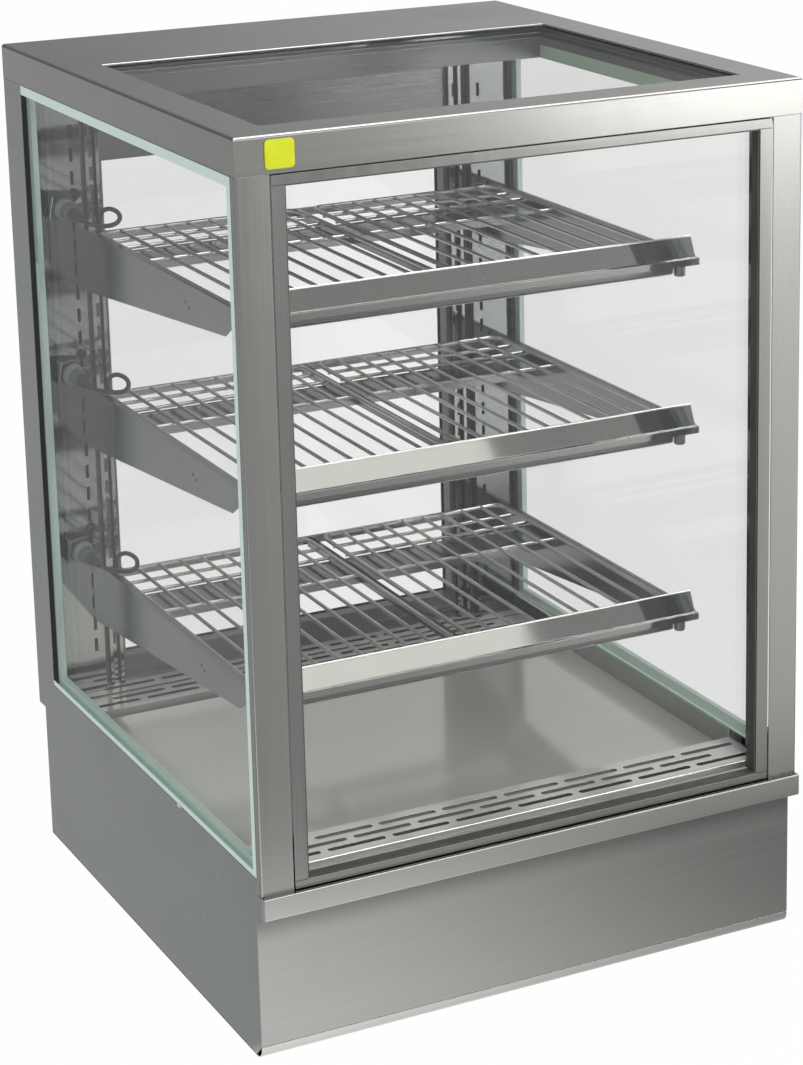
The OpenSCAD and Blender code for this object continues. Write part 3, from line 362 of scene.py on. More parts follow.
@dataclass(frozen=True)
class Finish:
    """A named finish with the record slot that it stands for."""

    name: str
    slot: str

    def write(self, recipe: Recipe) -> Value:
        """Adds the finish's nodes to a recipe and returns the shader."""
        raise NotImplementedError

    def material(self) -> bpy.types.Material:
        """The finish's material, written on first use.

        Returns:
            The material.
        """
        title = f"finish_{self.name}"
        known = bpy.data.materials.get(title)
        if known is not None:
            return known
        made = bpy.data.materials.new(title)
        made.use_nodes = True
        made.node_tree.nodes.clear()
        recipe = Recipe(made.node_tree)
        recipe.surface(self.write(recipe))
        return made


@dataclass(frozen=True)
class BrushedSteel(Finish):
    """Stainless sheet with fine lines along its grain, broader bands and faint handling marks."""

    slot: str = "sheet_steel"
    tone: Colour = (0.225, 0.225, 0.216)
    grain: Grain = Grain.ALONG_X
    roughness: float = 0.27
    band: float = 0.14
    lines: float = 0.08
    depth: float = 0.0000025
    metal: float = 1.0
    # Heights between which painted shade darkens the tone upwards.
    dim: Pair | None = None

    def write(self, recipe: Recipe) -> Value:
        """Lines and bands are noise stretched along the grain; they shift tone, roughness and relief.

        Between two heights the tone darkens upwards as painted shade, standing in for the shade under an
        overhanging fold.

        Args:
            recipe: the tree to write in.

        Returns:
            The shader.
        """
        lines = recipe.noise(self.grain.value, 2.0, 0.6)
        bands = recipe.noise([s * 0.09 for s in self.grain.value], 3.0, 0.65)
        marks = recipe.noise(7.0, 4.0, 0.6).above(0.42, 0.75)
        swing = self.lines + self.band
        share = (lines * self.lines + bands * self.band) * (1.0 / swing)
        brushed = recipe.blend(share, toned(self.tone, 1 - swing / 2), toned(self.tone, 1 + swing / 2))
        wear_and_painted_shade = recipe.blend(marks * 0.10, brushed, toned(self.tone, 0.86))
        # Painted shade: the tone darkens towards the upper height, as under an overhanging fold.
        if self.dim:
            painted_shade = recipe.axis(recipe.place(), "Z").above(*self.dim)
            wear_and_painted_shade = recipe.blend(painted_shade * 0.62, wear_and_painted_shade, toned(self.tone, 0.25))
        rough = lines * 0.10 + bands * 0.12 + marks * 0.04 + (self.roughness - 0.12)
        normal = recipe.relief(lines, self.depth, recipe.relief(bands, self.depth * 4.0))
        return recipe.metal(wear_and_painted_shade, rough, normal, self.metal)


@dataclass(frozen=True)
class PolishedSteel(Finish):
    """Bright rolled sheet with a slight ripple, so that reflections bend and smear a little."""

    slot: str = "polished_steel"
    tone: Colour = (0.29, 0.29, 0.28)
    roughness: float = 0.08
    ripple: float = 0.00007
    grain: Grain = Grain.ALONG_X

    def write(self, recipe: Recipe) -> Value:
        """The ripple is broad noise in the relief; fine lines and smears shift the roughness.

        Args:
            recipe: the tree to write in.

        Returns:
            The shader.
        """
        lines = recipe.noise(self.grain.value, 1.0, 0.5)
        wave = recipe.noise(14.0, 1.0, 0.4)
        smear = recipe.noise(30.0, 3.0, 0.6).above(0.45, 0.8)
        rough = lines * 0.03 + smear * 0.025 + (self.roughness - 0.015)
        tone = recipe.blend(smear * 0.3 + lines * 0.2, self.tone, toned(self.tone, 0.92))
        return recipe.metal(tone, rough, recipe.relief(wave, self.ripple))


@dataclass(frozen=True)
class PlatedWire(Finish):
    """Plated rack wire with tiny drawing marks and a duller, darker tone where grease has baked on."""

    slot: str = "rack_chrome"
    tone: Colour = (0.52, 0.52, 0.50)
    baked: Colour = (0.24, 0.245, 0.23)
    roughness: float = 0.10
    metal: float = 0.72
    depth: float = 0.000002

    def write(self, recipe: Recipe) -> Value:
        """Spots come from fine noise and dull patches from broad noise.

        Args:
            recipe: the tree to write in.

        Returns:
            The shader.
        """
        fine = recipe.noise((900.0, 120.0, 900.0), 2.0, 0.6)
        patch = recipe.noise(18.0, 3.0, 0.6).above(0.40, 0.78)
        tone = recipe.blend(patch * 0.45, self.tone, self.baked)
        rough = fine * 0.10 + patch * 0.12 + (self.roughness - 0.05)
        return recipe.metal(tone, rough, recipe.relief(fine, self.depth), self.metal)


@dataclass(frozen=True)
class FloatGlass(Finish):
    """Clear pane: its faces let light through and mirror by Fresnel, and its cut edges carry a painted green glow.

    The pane's thickness runs along one axis, and a face whose normal lies across it is a cut edge; cut edges
    facing along the dark axis get a painted shade, the others a painted glow.
    """

    slot: str = "clear_glass"
    thickness_axis: str = "X"
    tint: Colour = (0.960, 0.961, 0.959)
    edge: Colour = (0.56, 0.78, 0.68)
    # Tone of the cut edges facing along dark_axis: a painted shade in place of the glow.
    dark_edge: Colour = (0.020, 0.040, 0.030)
    dark_axis: str = "Y"
    # Emission strength of the other cut edges: a painted glow.
    glow: float = 0.30
    sheen: float = 0.025
    grazing: float = 0.10
    mirror: Colour = (0.92, 0.95, 0.94)
    seal: tuple[Colour, Colour] = ((0.66, 0.83, 0.76), (0.74, 0.90, 0.84))
    seal_glow: float = 0.12
    border: bool = False

    def write(self, recipe: Recipe) -> Value:
        """Faces mix a tinted see-through with a mirror by sheen + grazing (1 - cos)^5, as coated glass does.

        Args:
            recipe: the tree to write in.

        Returns:
            The shader.
        """
        smear = recipe.noise(22.0, 3.0, 0.65).above(0.5, 0.85)
        normal = recipe.node("ShaderNodeTexCoord", out="Normal")
        across = recipe.axis(normal, self.thickness_axis).math("ABSOLUTE")
        facing = recipe.node("ShaderNodeLayerWeight", sockets={"Blend": 0.5}, out="Facing")
        fresnel = facing.math("POWER", 5.0) * self.grazing + self.sheen
        through = recipe.node("ShaderNodeBsdfTransparent", sockets={"Color": self.tint})
        mirror = recipe.principled({
            "Base Color": self.mirror, "Metallic": 1.0, "Roughness": smear * 0.03})
        face = recipe.layered(fresnel, through, mirror)
        ripple = recipe.noise(60.0, 2.0, 0.5)
        # Painted shade and glow: cut edges facing along dark_axis get the dark tone, the others a green emission.
        shaded_edge = recipe.axis(normal, self.dark_axis).math("ABSOLUTE").above(0.5, 0.8)
        glowing = recipe.blend(ripple, self.edge, toned(self.edge, 0.80))
        edge = recipe.principled({
            "Base Color": recipe.blend(shaded_edge, glowing, self.dark_edge), "Roughness": 0.12, "Coat Weight": 1.0,
            "Emission Color": recipe.blend(shaded_edge, glowing, (0.0, 0.0, 0.0)), "Emission Strength": self.glow})
        shader = recipe.layered(across.above(0.3, 0.6), edge, face)
        return self.rimmed(recipe, shader) if self.border else shader

    def rimmed(self, recipe: Recipe, pane: Value) -> Value:
        """Lays the pale rim of the edge seal over the outer face of a side pane: front, head and foot; the rim
        carries a faint painted glow.

        Args:
            recipe: the tree to write in.
            pane: the shader of the bare pane.

        Returns:
            The shader with its rim.
        """
        x, y, z = (recipe.axis(recipe.place(), name) for name in "XYZ")
        half_step = 0.0002
        at_front, at_head, at_foot = behind(0.0194), BODY_TOP - 0.0106, WINDOW_FOOT + 0.0066
        front = 1.0 - y.above(at_front - half_step, at_front + half_step)
        head = z.above(at_head - half_step, at_head + half_step)
        foot = 1.0 - z.above(at_foot - half_step, at_foot + half_step)
        outer = x.math("ABSOLUTE").above(HALF_WIDTH - 0.0003, HALF_WIDTH - 0.0001)
        rim = front.math("MAXIMUM", head).math("MAXIMUM", foot) * outer
        blotch = recipe.noise(24.0, 3.0, 0.6)
        tone = recipe.blend(blotch, *self.seal)
        # The seal's emission is a painted glow; the seal is no lamp.
        seal = recipe.principled({"Base Color": tone, "Roughness": blotch * 0.06 + 0.10, "Emission Color": tone,
                                  "Emission Strength": self.seal_glow})
        return recipe.layered(rim, pane, seal)


@dataclass(frozen=True)
class Rubber(Finish):
    """Matt or satin black rubber with a fine moulded skin."""

    slot: str = "seal_rubber"
    tone: Colour = (0.022, 0.023, 0.022)
    roughness: float = 0.55
    pitch: float = 900.0

    def write(self, recipe: Recipe) -> Value:
        """Fine noise gives the skin, broad noise the greyed patches.

        Args:
            recipe: the tree to write in.

        Returns:
            The shader.
        """
        fine = recipe.noise(self.pitch, 2.0, 0.6)
        dust = recipe.noise(35.0, 3.0, 0.6).above(0.45, 0.85)
        tone = recipe.blend(dust * 0.5 + fine * 0.15, self.tone, toned(self.tone, 2.2, 0.008))
        return recipe.principled({
            "Base Color": tone, "Roughness": fine * 0.14 + dust * 0.08 + (self.roughness - 0.08),
            "Normal": recipe.relief(fine, 0.00002)})


@dataclass(frozen=True)
class Moulding(Finish):
    """Moulded plastic with a light spark-eroded grain and rubbed patches."""

    slot: str = "black_plastic"
    tone: Colour = (0.035, 0.036, 0.036)
    roughness: float = 0.38
    grain: float = 700.0
    depth: float = 0.00002
    gloss: float = 0.5

    def write(self, recipe: Recipe) -> Value:
        """Cell noise gives the grain, broad noise the rubbed, glossier patches.

        Args:
            recipe: the tree to write in.

        Returns:
            The shader.
        """
        cells = recipe.node("ShaderNodeTexVoronoi", {"feature": "SMOOTH_F1"},
                            {"Vector": recipe.scaled_place(self.grain), "Scale": 1.0})
        rubbed = recipe.noise(45.0, 3.0, 0.6).above(0.45, 0.8)
        tone = recipe.blend(rubbed * 0.6, self.tone, toned(self.tone, 1.25, 0.004))
        return recipe.principled({
            "Base Color": tone, "Roughness": cells * 0.08 + (self.roughness - 0.04) - rubbed * 0.08,
            "Specular IOR Level": self.gloss, "Normal": recipe.relief(cells, self.depth)})


@dataclass(frozen=True)
class HeatedSheath(Finish):
    """Heater tube, tinted straw, brown and blue by its own heat."""

    slot: str = "element_sheath"

    def write(self, recipe: Recipe) -> Value:
        """Broad noise walks through the tints.

        Args:
            recipe: the tree to write in.

        Returns:
            The shader.
        """
        heat = recipe.noise(16.0, 3.0, 0.6)
        tint = recipe.node("ShaderNodeValToRGB", {"stops": [
            (0.30, (0.36, 0.33, 0.29)), (0.75, (0.14, 0.14, 0.19)), (0.55, (0.27, 0.18, 0.11))]}, {"Fac": heat})
        return recipe.principled({
            "Base Color": tint, "Metallic": 1.0, "Roughness": heat * 0.2 + 0.3})


@dataclass(frozen=True)
class SpacerBand(Finish):
    """Pale aqua edge band of the double glazing, with soft blotches of sealant behind the glass."""

    slot: str = "spacer_band"
    tone: Colour = (0.74, 0.90, 0.83)

    def write(self, recipe: Recipe) -> Value:
        """Broad noise along the band shifts the tone, and fine noise the gloss.

        Args:
            recipe: the tree to write in.

        Returns:
            The shader.
        """
        blotch = recipe.noise(24.0, 3.0, 0.6)
        fine = recipe.noise(400.0, 2.0, 0.6)
        tone = recipe.blend(blotch, toned(self.tone, 0.90), toned(self.tone, 1.08))
        return recipe.principled({
            "Base Color": tone, "Roughness": fine * 0.15 + 0.35, "Normal": recipe.relief(fine, 0.00001)})


@dataclass(frozen=True)
class StudioFloor(Finish):
    """White floor with a faint shadow; mirrors see painted pools of light on it, which no lamp casts.

    The painted pool in front runs from bright at the left to dim at the right, and far in front the painted
    light grows towards the right.
    """

    slot: str = ""
    white: float = 0.985
    plain: float = 0.70
    near: Pair = (2.1, 0.55)
    near_run: Pair = (-0.40, 0.50)
    far: Pair = (0.90, 2.2)
    far_run: Pair = (-0.45, 1.1)
    slant: float = 0.45
    far_edge: Pair = (-0.82, -0.58)
    pool_end: Pair = (-0.32, -0.26)

    def write(self, recipe: Recipe) -> Value:
        """Rays from the eye or through glass get plain white, mirrors the painted pools of light, and the rest is
        lit.

        Args:
            recipe: the tree to write in.

        Returns:
            The shader.
        """
        mirrored = recipe.ray("Glossy")
        share = (recipe.eye_ray() * self.white).math("MAXIMUM", mirrored)
        x, y = recipe.axis(recipe.place(), "X"), recipe.axis(recipe.place(), "Y")
        # Painted light: emission that only mirrors see, in pools across the floor.
        near = x.above(*self.near_run).between(*self.near)
        far = (x + y * self.slant).above(*self.far_run).between(*self.far)
        front = near + (far - near) * (1.0 - y.above(*self.far_edge))
        level = front + (self.plain - front) * y.above(*self.pool_end)
        strength = 1.0 + mirrored * (level - 1.0)
        grain = recipe.noise(3.0, 2.0, 0.5)
        tone = recipe.blend(grain, (0.80, 0.80, 0.80), (0.84, 0.84, 0.84))
        matt = recipe.node("ShaderNodeBsdfDiffuse", sockets={"Color": tone})
        white = recipe.node("ShaderNodeEmission", sockets={"Color": (1.0, 1.0, 1.0), "Strength": strength})
        return recipe.layered(share, matt, white)


class Finishes:
    """Every finish of the cabinet."""

    SHEET_X = BrushedSteel("steel_brushed_across")
    # Painted shade: the base front darkens towards its top, under the lip.
    BASE_FRONT = BrushedSteel("steel_base_front", dim=(0.118, 0.150))
    BASE_TRAY = BrushedSteel("steel_base_tray", tone=(0.32, 0.32, 0.305), roughness=0.20)
    SHEET_Y = BrushedSteel("steel_brushed_deep", tone=(0.212, 0.226, 0.226), grain=Grain.ALONG_Y)
    SHEET_Z = BrushedSteel("steel_brushed_upright", grain=Grain.ALONG_Z, roughness=0.25)
    TOP = BrushedSteel("steel_brushed_top", roughness=0.22, band=0.18)
    LIP = BrushedSteel("steel_brushed_lip", tone=(0.270, 0.270, 0.258), roughness=0.20)
    REAR_WALL = BrushedSteel("steel_rear_wall", "liner_steel", tone=(0.135, 0.139, 0.136), roughness=0.30,
                             band=0.05, lines=0.03, depth=0.0000005, metal=0.75)
    LINER = PolishedSteel("steel_liner", "liner_steel", tone=(0.235, 0.243, 0.238), roughness=0.06)
    GLASS_FRAME = BrushedSteel("steel_glass_frame", tone=(0.180, 0.180, 0.175),
                               grain=Grain.ALONG_Z, roughness=0.24)
    HOOK_PANEL = PolishedSteel("steel_hook_panel", "liner_steel", tone=(0.235, 0.245, 0.24), roughness=0.06)
    UPRIGHT = PolishedSteel("steel_upright", roughness=0.05)
    RAIL = PolishedSteel("steel_rail", tone=(0.268, 0.268, 0.258), roughness=0.05)
    PAN = BrushedSteel("steel_deck_pan", "polished_steel", tone=(0.84, 0.84, 0.80), roughness=0.12,
                       grain=Grain.NONE, band=0.05, lines=0.03, depth=0.0000001, metal=0.35)
    GRILLE = BrushedSteel("steel_grille", tone=(0.98, 0.98, 0.95), roughness=0.13, lines=0.03,
                          depth=0.0000003, metal=0.35)
    PAN_WALL = PolishedSteel("steel_pan_wall", tone=(0.30, 0.31, 0.29), roughness=0.07,
                             ripple=0.00002)
    # Brighter tone on folds and hems: a painted highlight line along their edges.
    BURNISHED = BrushedSteel("steel_burnished_fold", "polished_steel", tone=(0.66, 0.66, 0.64), roughness=0.26,
                             band=0.05, lines=0.03, depth=0.0000004)
    SHADED = Rubber("shaded_cut", "sheet_steel", tone=(0.010, 0.011, 0.010), roughness=0.6)
    # Darker copy of the rail finish for the rail's lower faces: painted shade.
    RAIL_LIP = PolishedSteel("steel_rail_lip", tone=(0.215, 0.215, 0.206), roughness=0.07)
    ARM = BrushedSteel("steel_arm", tone=(0.225, 0.238, 0.238), grain=Grain.ALONG_Y,
                       roughness=0.17, depth=0.0000005)
    RACK = PlatedWire("plated_wire")
    SIDE_PANE = FloatGlass("glass_side", border=True)
    FRONT_PANE = FloatGlass("glass_front", thickness_axis="Y", edge=(0.40, 0.42, 0.38),
                            dark_axis="X", glow=0.22)
    TOP_PANE = FloatGlass("glass_top", thickness_axis="Z", edge=(0.055, 0.068, 0.072), glow=0.0)
    BAND = SpacerBand("spacer_band")
    PALE_EDGE = SpacerBand("pale_edge_band", tone=(0.40, 0.53, 0.41))
    SEAL = Rubber("seal_rubber")
    GASKET = Rubber("front_gasket_strip", tone=(0.060, 0.061, 0.050), roughness=0.45)
    LEAD = Rubber("lead_rubber", "lead_rubber", tone=(0.013, 0.013, 0.014), roughness=0.42, pitch=1500.0)
    PLASTIC = Moulding("black_plastic")
    PLUG = Moulding("plug_grey", "plug_body", tone=(0.17, 0.18, 0.18), roughness=0.30)
    BOOT = Rubber("plug_boot", "plug_body", tone=(0.024, 0.024, 0.025), roughness=0.42)
    COLLAR = Moulding("collar_grey", "collar_grey", tone=(0.27, 0.31, 0.32), roughness=0.32)
    BADGE = Moulding("badge_lime", "badge_lime", tone=(0.80, 0.88, 0.045), roughness=0.40, grain=300.0,
                     depth=0.000005, gloss=0.06)
    HEATER = HeatedSheath("heater_sheath")
    LAMP = BrushedSteel("lamp_body", "lamp_body", tone=(0.105, 0.108, 0.105), roughness=0.24)
    DIFFUSER = Moulding("lamp_diffuser", "lamp_body", tone=(0.78, 0.79, 0.76), roughness=0.45)
    WHITE = Moulding("white_clip", tone=(0.80, 0.80, 0.78), roughness=0.35)
    SEALANT = Rubber("glazing_sealant", tone=(0.10, 0.14, 0.11), roughness=0.4)
    SCREW = PolishedSteel("steel_fixing", tone=(0.42, 0.42, 0.41), roughness=0.16)
    FLOOR = StudioFloor("studio_floor")


# Surfaces on a grid


def lattice(rows: int, columns: int, close_rows: bool = False) -> np.ndarray:
    """Quads of a grid of points that closes round its columns, with point (i, j) stored at i * columns + j.

    Args:
        rows: points along the first parameter.
        columns: points along the second parameter.
        close_rows: joins the last row to the first.

    Returns:
        An array of four point numbers for each quad.
    """
    i = np.arange(rows if close_rows else rows - 1)[:, None]
    j = np.arange(columns)[None, :]
    below, right = (i + 1) % rows, (j + 1) % columns
    corners = [i * columns + j, i * columns + right, below * columns + right, below * columns + j]
    return np.stack([np.broadcast_to(c, (i.size, j.size)) for c in corners], -1).reshape(-1, 4)


def add_object(name: str, data: bpy.types.ID) -> Piece:
    """Makes an object at the origin and links it to the scene.

    Args:
        name: the object's name.
        data: its mesh, lamp or camera.

    Returns:
        The object.
    """
    made = bpy.data.objects.new(name, data)
    bpy.context.scene.collection.objects.link(made)
    return made


def face_values(piece: Piece, what: str) -> np.ndarray:
    """A vector of every face of a piece.

    Args:
        piece: the piece.
        what: "center" or "normal".

    Returns:
        The vectors (n, 3).
    """
    values = np.empty(len(piece.data.polygons) * 3)
    piece.data.polygons.foreach_get(what, values)
    return values.reshape(-1, 3)


def finish_numbers(mesh: bpy.types.Mesh) -> np.ndarray:
    """The number of the material slot that each face of a mesh uses."""
    numbers = np.empty(len(mesh.polygons), np.int32)
    mesh.polygons.foreach_get("material_index", numbers)
    return numbers


def mesh_object(name: str, parts: Iterable[Grid],
                smooth_angle: float = 35.0) -> Piece:
    """Makes one object from several grids, with doubled points merged and faces turned outwards.

    Args:
        name: the object's name.
        parts: points (n, 3) and quads (m, 4) of each grid.
        smooth_angle: edges sharper than this, in degrees, stay hard.

    Returns:
        The object, at the origin.
    """
    points, faces, start = [], [], 0
    for grid_points, grid_faces in parts:
        points.append(grid_points.reshape(-1, 3))
        faces.append(grid_faces + start)
        start += len(points[-1])
    mesh = bpy.data.meshes.new(name)
    mesh.from_pydata(np.concatenate(points).tolist(), [], np.concatenate(faces).tolist())
    work = bmesh.new()
    work.from_mesh(mesh)
    bmesh.ops.remove_doubles(work, verts=work.verts, dist=1e-7)
    bmesh.ops.dissolve_degenerate(work, edges=work.edges, dist=1e-8)
    bmesh.ops.recalc_face_normals(work, faces=work.faces)
    work.to_mesh(mesh)
    work.free()
    mesh.polygons.foreach_set("use_smooth", np.ones(len(mesh.polygons), bool))
    mesh.set_sharp_from_angle(angle=math.radians(smooth_angle))
    return add_object(name, mesh)


def frames_along(path: np.ndarray) -> tuple[np.ndarray, np.ndarray]:
    """Two directions across a path at each of its points, each turned only as much as the path turns.

    Args:
        path: the points (n, 3).

    Returns:
        The two arrays of unit vectors.
    """
    forward = np.gradient(path, axis=0)
    forward /= np.linalg.norm(forward, axis=1)[:, None]
    side = np.cross(forward[0], [0.0, 0.0, 1.0])
    if np.linalg.norm(side) < 1e-6:
        side = np.array([1.0, 0.0, 0.0])
    sides = np.empty_like(path)
    for place, along in enumerate(forward):
        side = side - along * (side @ along)
        side /= np.linalg.norm(side)
        sides[place] = side
    return sides, np.cross(forward, sides)


def tube(path: np.ndarray, radius: float, corners: int) -> Grid:
    """Round tube: P(u) + r (cos v N(u) + sin v B(u)), closed to a point at both ends.

    Args:
        path: centre line (n, 3).
        radius: the radius r.
        corners: points round the tube.

    Returns:
        Points and quads.
    """
    first, second = frames_along(path)
    turn = np.linspace(0, 2 * np.pi, corners, endpoint=False)
    ring = np.cos(turn)[None, :, None] * first[:, None] + np.sin(turn)[None, :, None] * second[:, None]
    points = path[:, None] + radius * ring
    ends = [np.repeat(path[k][None, None], corners, 1) for k in (0, -1)]
    points = np.concatenate([ends[0], points, ends[1]])
    return points.reshape(-1, 3), lattice(len(points), corners)


def turned(profile: np.ndarray, centre: Sequence[float], axis: Sequence[float], corners: int,
           swell: np.ndarray | None = None, closed: bool = False) -> Grid:
    """Turned form: C + h(u) A + r(u) (cos v X + sin v Y), with r optionally times a swell of u and v.

    Args:
        profile: pairs (r, h) from one pole to the other, or once round a ring's section.
        centre: the point C.
        axis: the direction A.
        corners: points round the form.
        swell: factor on the radius (rows, corners).
        closed: joins the profile's last point to its first.

    Returns:
        Points and quads.
    """
    along = np.array(axis, float) / np.linalg.norm(axis)
    helper = np.array([0.0, 0.0, 1.0]) if abs(along[2]) < 0.9 else np.array([1.0, 0.0, 0.0])
    first = np.cross(helper, along)
    first /= np.linalg.norm(first)
    second = np.cross(along, first)
    turn = np.linspace(0, 2 * np.pi, corners, endpoint=False)
    radius = np.repeat(profile[:, :1], corners, 1) * (1.0 if swell is None else swell)
    ring = np.cos(turn)[:, None] * first + np.sin(turn)[:, None] * second
    points = np.array(centre) + profile[:, 1, None, None] * along + radius[:, :, None] * ring[None]
    return points.reshape(-1, 3), lattice(len(profile), corners, close_rows=closed)


def bead(low: Pair, high: Pair, section: np.ndarray, plane: int,
         level: float) -> Grid:
    """Frame with mitred corners: each corner of a rectangle plus the section's outward offset on both axes.

    Args:
        low: lowest corner of the rectangle in its plane.
        high: highest corner.
        section: closed section as pairs (outward, along the plane's normal).
        plane: the axis that the plane's normal runs along.
        level: where the plane lies on that axis.

    Returns:
        Points and quads.
    """
    signs = np.array([[-1, -1], [1, -1], [1, 1], [-1, 1]], float)
    base = np.where(signs < 0, np.array(low), np.array(high))
    flat = base[:, None] + signs[:, None] * section[None, :, :1]
    height = np.broadcast_to(level + section[None, :, 1:], (4, len(section), 1))
    axes = [a for a in range(3) if a != plane]
    points = np.empty((4, len(section), 3))
    points[..., axes[0]], points[..., axes[1]], points[..., plane] = flat[..., 0], flat[..., 1], height[..., 0]
    return points.reshape(-1, 3), lattice(4, len(section), close_rows=True)


def pad(low: Sequence[float], high: Sequence[float], corner: float, plane: int, rim: float = 0.0003,
        low_face: bool = False) -> Grid:
    """Plate with round corners and a round edge: shrinking copies of its outline, stacked along its normal.

    Args:
        low: lowest corner.
        high: highest corner.
        corner: radius of the outline's corners.
        plane: the axis of the plate's normal.
        rim: radius of the edge round its face.
        low_face: puts the round edge on the low side instead of the high side.

    Returns:
        Points and quads.
    """
    axes = [a for a in range(3) if a != plane]
    low_, high_ = np.array(low, float), np.array(high, float)
    centre, half = (low_ + high_) / 2, (high_ - low_) / 2
    turn = np.linspace(0, 2 * np.pi, 33)[:-1] + np.pi / 32
    inner = half[axes] - corner
    unit = np.stack([np.cos(turn), np.sin(turn)], 1)
    outline = np.sign(unit) * inner + corner * unit
    shrink = np.array([0.0, 1.0, 1.0, 1.0, 1.0, 1.0, 0.6, 0.3, 0.0])
    inset = np.array([0.0, 0.0, 0.0, 0.0, 0.3 * rim, rim, 0.0, 0.0, 0.0])
    bottom, top = low_[plane], high_[plane]
    height = np.array([bottom, bottom, bottom, top - rim, top - 0.3 * rim, top, top, top, top])
    scale = shrink[:, None, None] * (1 - inset[:, None, None] / half[axes].min())
    points = np.empty((len(height), len(turn), 3))
    points[..., axes[0]] = centre[axes[0]] + (outline * scale)[..., 0]
    points[..., axes[1]] = centre[axes[1]] + (outline * scale)[..., 1]
    points[..., plane] = (bottom + top - height if low_face else height)[:, None]
    return points.reshape(-1, 3), lattice(len(height), len(turn))


def smooth_path(points: np.ndarray, steps: int = 6) -> np.ndarray:
    """Curve through the points: on each stretch a cubic whose slopes are half the chords across its ends.

    Args:
        points: the points (n, 3).
        steps: pieces of curve between two points.

    Returns:
        The denser points.
    """
    before = np.concatenate([points[:1] * 2 - points[1:2], points[:-2]])
    after = np.concatenate([points[2:], points[-1:] * 2 - points[-2:-1]])
    start, end = points[:-1, None], points[1:, None]
    slope0, slope1 = (end - before[:, None]) / 2, (after[:, None] - start) / 2
    t = np.linspace(0, 1, steps, endpoint=False)[None, :, None]
    curve = ((2 * t**3 - 3 * t**2 + 1) * start + (t**3 - 2 * t**2 + t) * slope0
             + (3 * t**2 - 2 * t**3) * end + (t**3 - t**2) * slope1)
    return np.concatenate([curve.reshape(-1, 3), points[-1:]])


# Dressing


@dataclass(frozen=True)
class Bend:
    """A fold line of the sheet, where two planes of the node meet, with its outer radius."""

    axes: tuple[int, int]
    values: Pair
    radius: float
    # Gives the fold's rounding the brighter finish, a painted highlight.
    burnished: bool = False


@dataclass
class Assembly:
    """A sub-assembly: it builds its pieces round the CAD nodes and dresses both."""

    frame: dict[str, Any]
    body: str = "cabinet"
    edge: float = 0.00035
    made: list[str] = field(default_factory=list)

    def build(self) -> None:
        """Builds and dresses the sub-assembly."""
        raise NotImplementedError

    def place(self, piece: Piece, finish: Finish, *replaced: str,
              body: str | None = None) -> Piece:
        """Gives a piece its finish and its body, and hides the nodes it stands for.

        Args:
            piece: the piece.
            finish: its finish.
            replaced: CAD nodes that it stands for.
            body: the body it rides on, if not the sub-assembly's.

        Returns:
            The piece.
        """
        piece.data.materials.clear()
        piece.data.materials.append(finish.material())
        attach(piece, body or self.body)
        if replaced:
            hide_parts(*replaced)
        self.made.append(piece.name)
        LOG.info("piece %s: %d faces, %s", piece.name, len(piece.data.polygons), finish.name)
        return piece

    def dress(self, node: str, finish: Finish) -> None:
        """Gives a CAD node its finish and leaves its shape.

        Args:
            node: the node.
            finish: its finish.
        """
        shown = self.frame["nodes"][node]
        shown.data.materials.clear()
        shown.data.materials.append(finish.material())
        self.made.append(node)
        LOG.info("node %s: %s", node, finish.name)

    def skin(self, node: str, finish: Finish, *bends: Bend, edge: float | None = None) -> Piece:
        """Stands in for a node with the same sheet whose folds and edges are rounded.

        Args:
            node: the node.
            finish: its finish.
            bends: fold lines with a radius of their own.
            edge: radius of all other edges.

        Returns:
            The piece.
        """
        source = self.frame["nodes"][node]
        work = bmesh.new()
        work.from_mesh(source.data)
        bmesh.ops.remove_doubles(work, verts=work.verts, dist=2e-6)
        bmesh.ops.dissolve_limit(work, angle_limit=math.radians(0.4), verts=work.verts, edges=work.edges)
        for bend in bends:
            fold = [e for e in work.edges if all(
                abs(v.co[a] - value) < 3e-5 for v in e.verts for a, value in zip(bend.axes, bend.values))]
            if fold:
                bmesh.ops.bevel(work, geom=fold, offset=bend.radius, segments=5, profile=0.5,
                                affect="EDGES", clamp_overlap=True, material=int(bend.burnished) or -1)
            else:
                LOG.warning("node %s has no fold at %s", node, bend)
        mesh = bpy.data.meshes.new(f"{node}_skin")
        work.to_mesh(mesh)
        work.free()
        mesh.polygons.foreach_set("use_smooth", np.ones(len(mesh.polygons), bool))
        piece = add_object(f"{node}_skin", mesh)
        rounding = piece.modifiers.new("edges", "BEVEL")
        rounding.width = edge or self.edge
        rounding.segments = 2
        rounding.limit_method = "ANGLE"
        rounding.angle_limit = math.radians(40)
        rounding.use_clamp_overlap = False
        flats = piece.modifiers.new("flats", "WEIGHTED_NORMAL")
        flats.mode = "FACE_AREA"
        flats.weight = 50
        graph = bpy.context.evaluated_depsgraph_get()
        shaped = bpy.data.meshes.new_from_object(piece.evaluated_get(graph), preserve_all_data_layers=True,
                                                 depsgraph=graph)
        piece.modifiers.clear()
        piece.data = shaped
        bpy.data.meshes.remove(mesh)
        shaped.name = f"{node}_skin"
        # Faces from folds marked for it take the brighter finish, a painted highlight.
        burnished = finish_numbers(shaped) == 1
        self.place(piece, finish, node, body=source["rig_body"])
        self.second(piece, Finishes.BURNISHED, burnished)
        return piece

    def second(self, piece: Piece, finish: Finish, faces: np.ndarray) -> None:
        """Gives some faces of a piece another finish.

        Args:
            piece: the piece.
            finish: the further finish.
            faces: a mask of its faces.
        """
        if faces.any():
            numbers = finish_numbers(piece.data)
            piece.data.materials.append(finish.material())
            numbers[faces] = len(piece.data.materials) - 1
            piece.data.polygons.foreach_set("material_index", numbers)


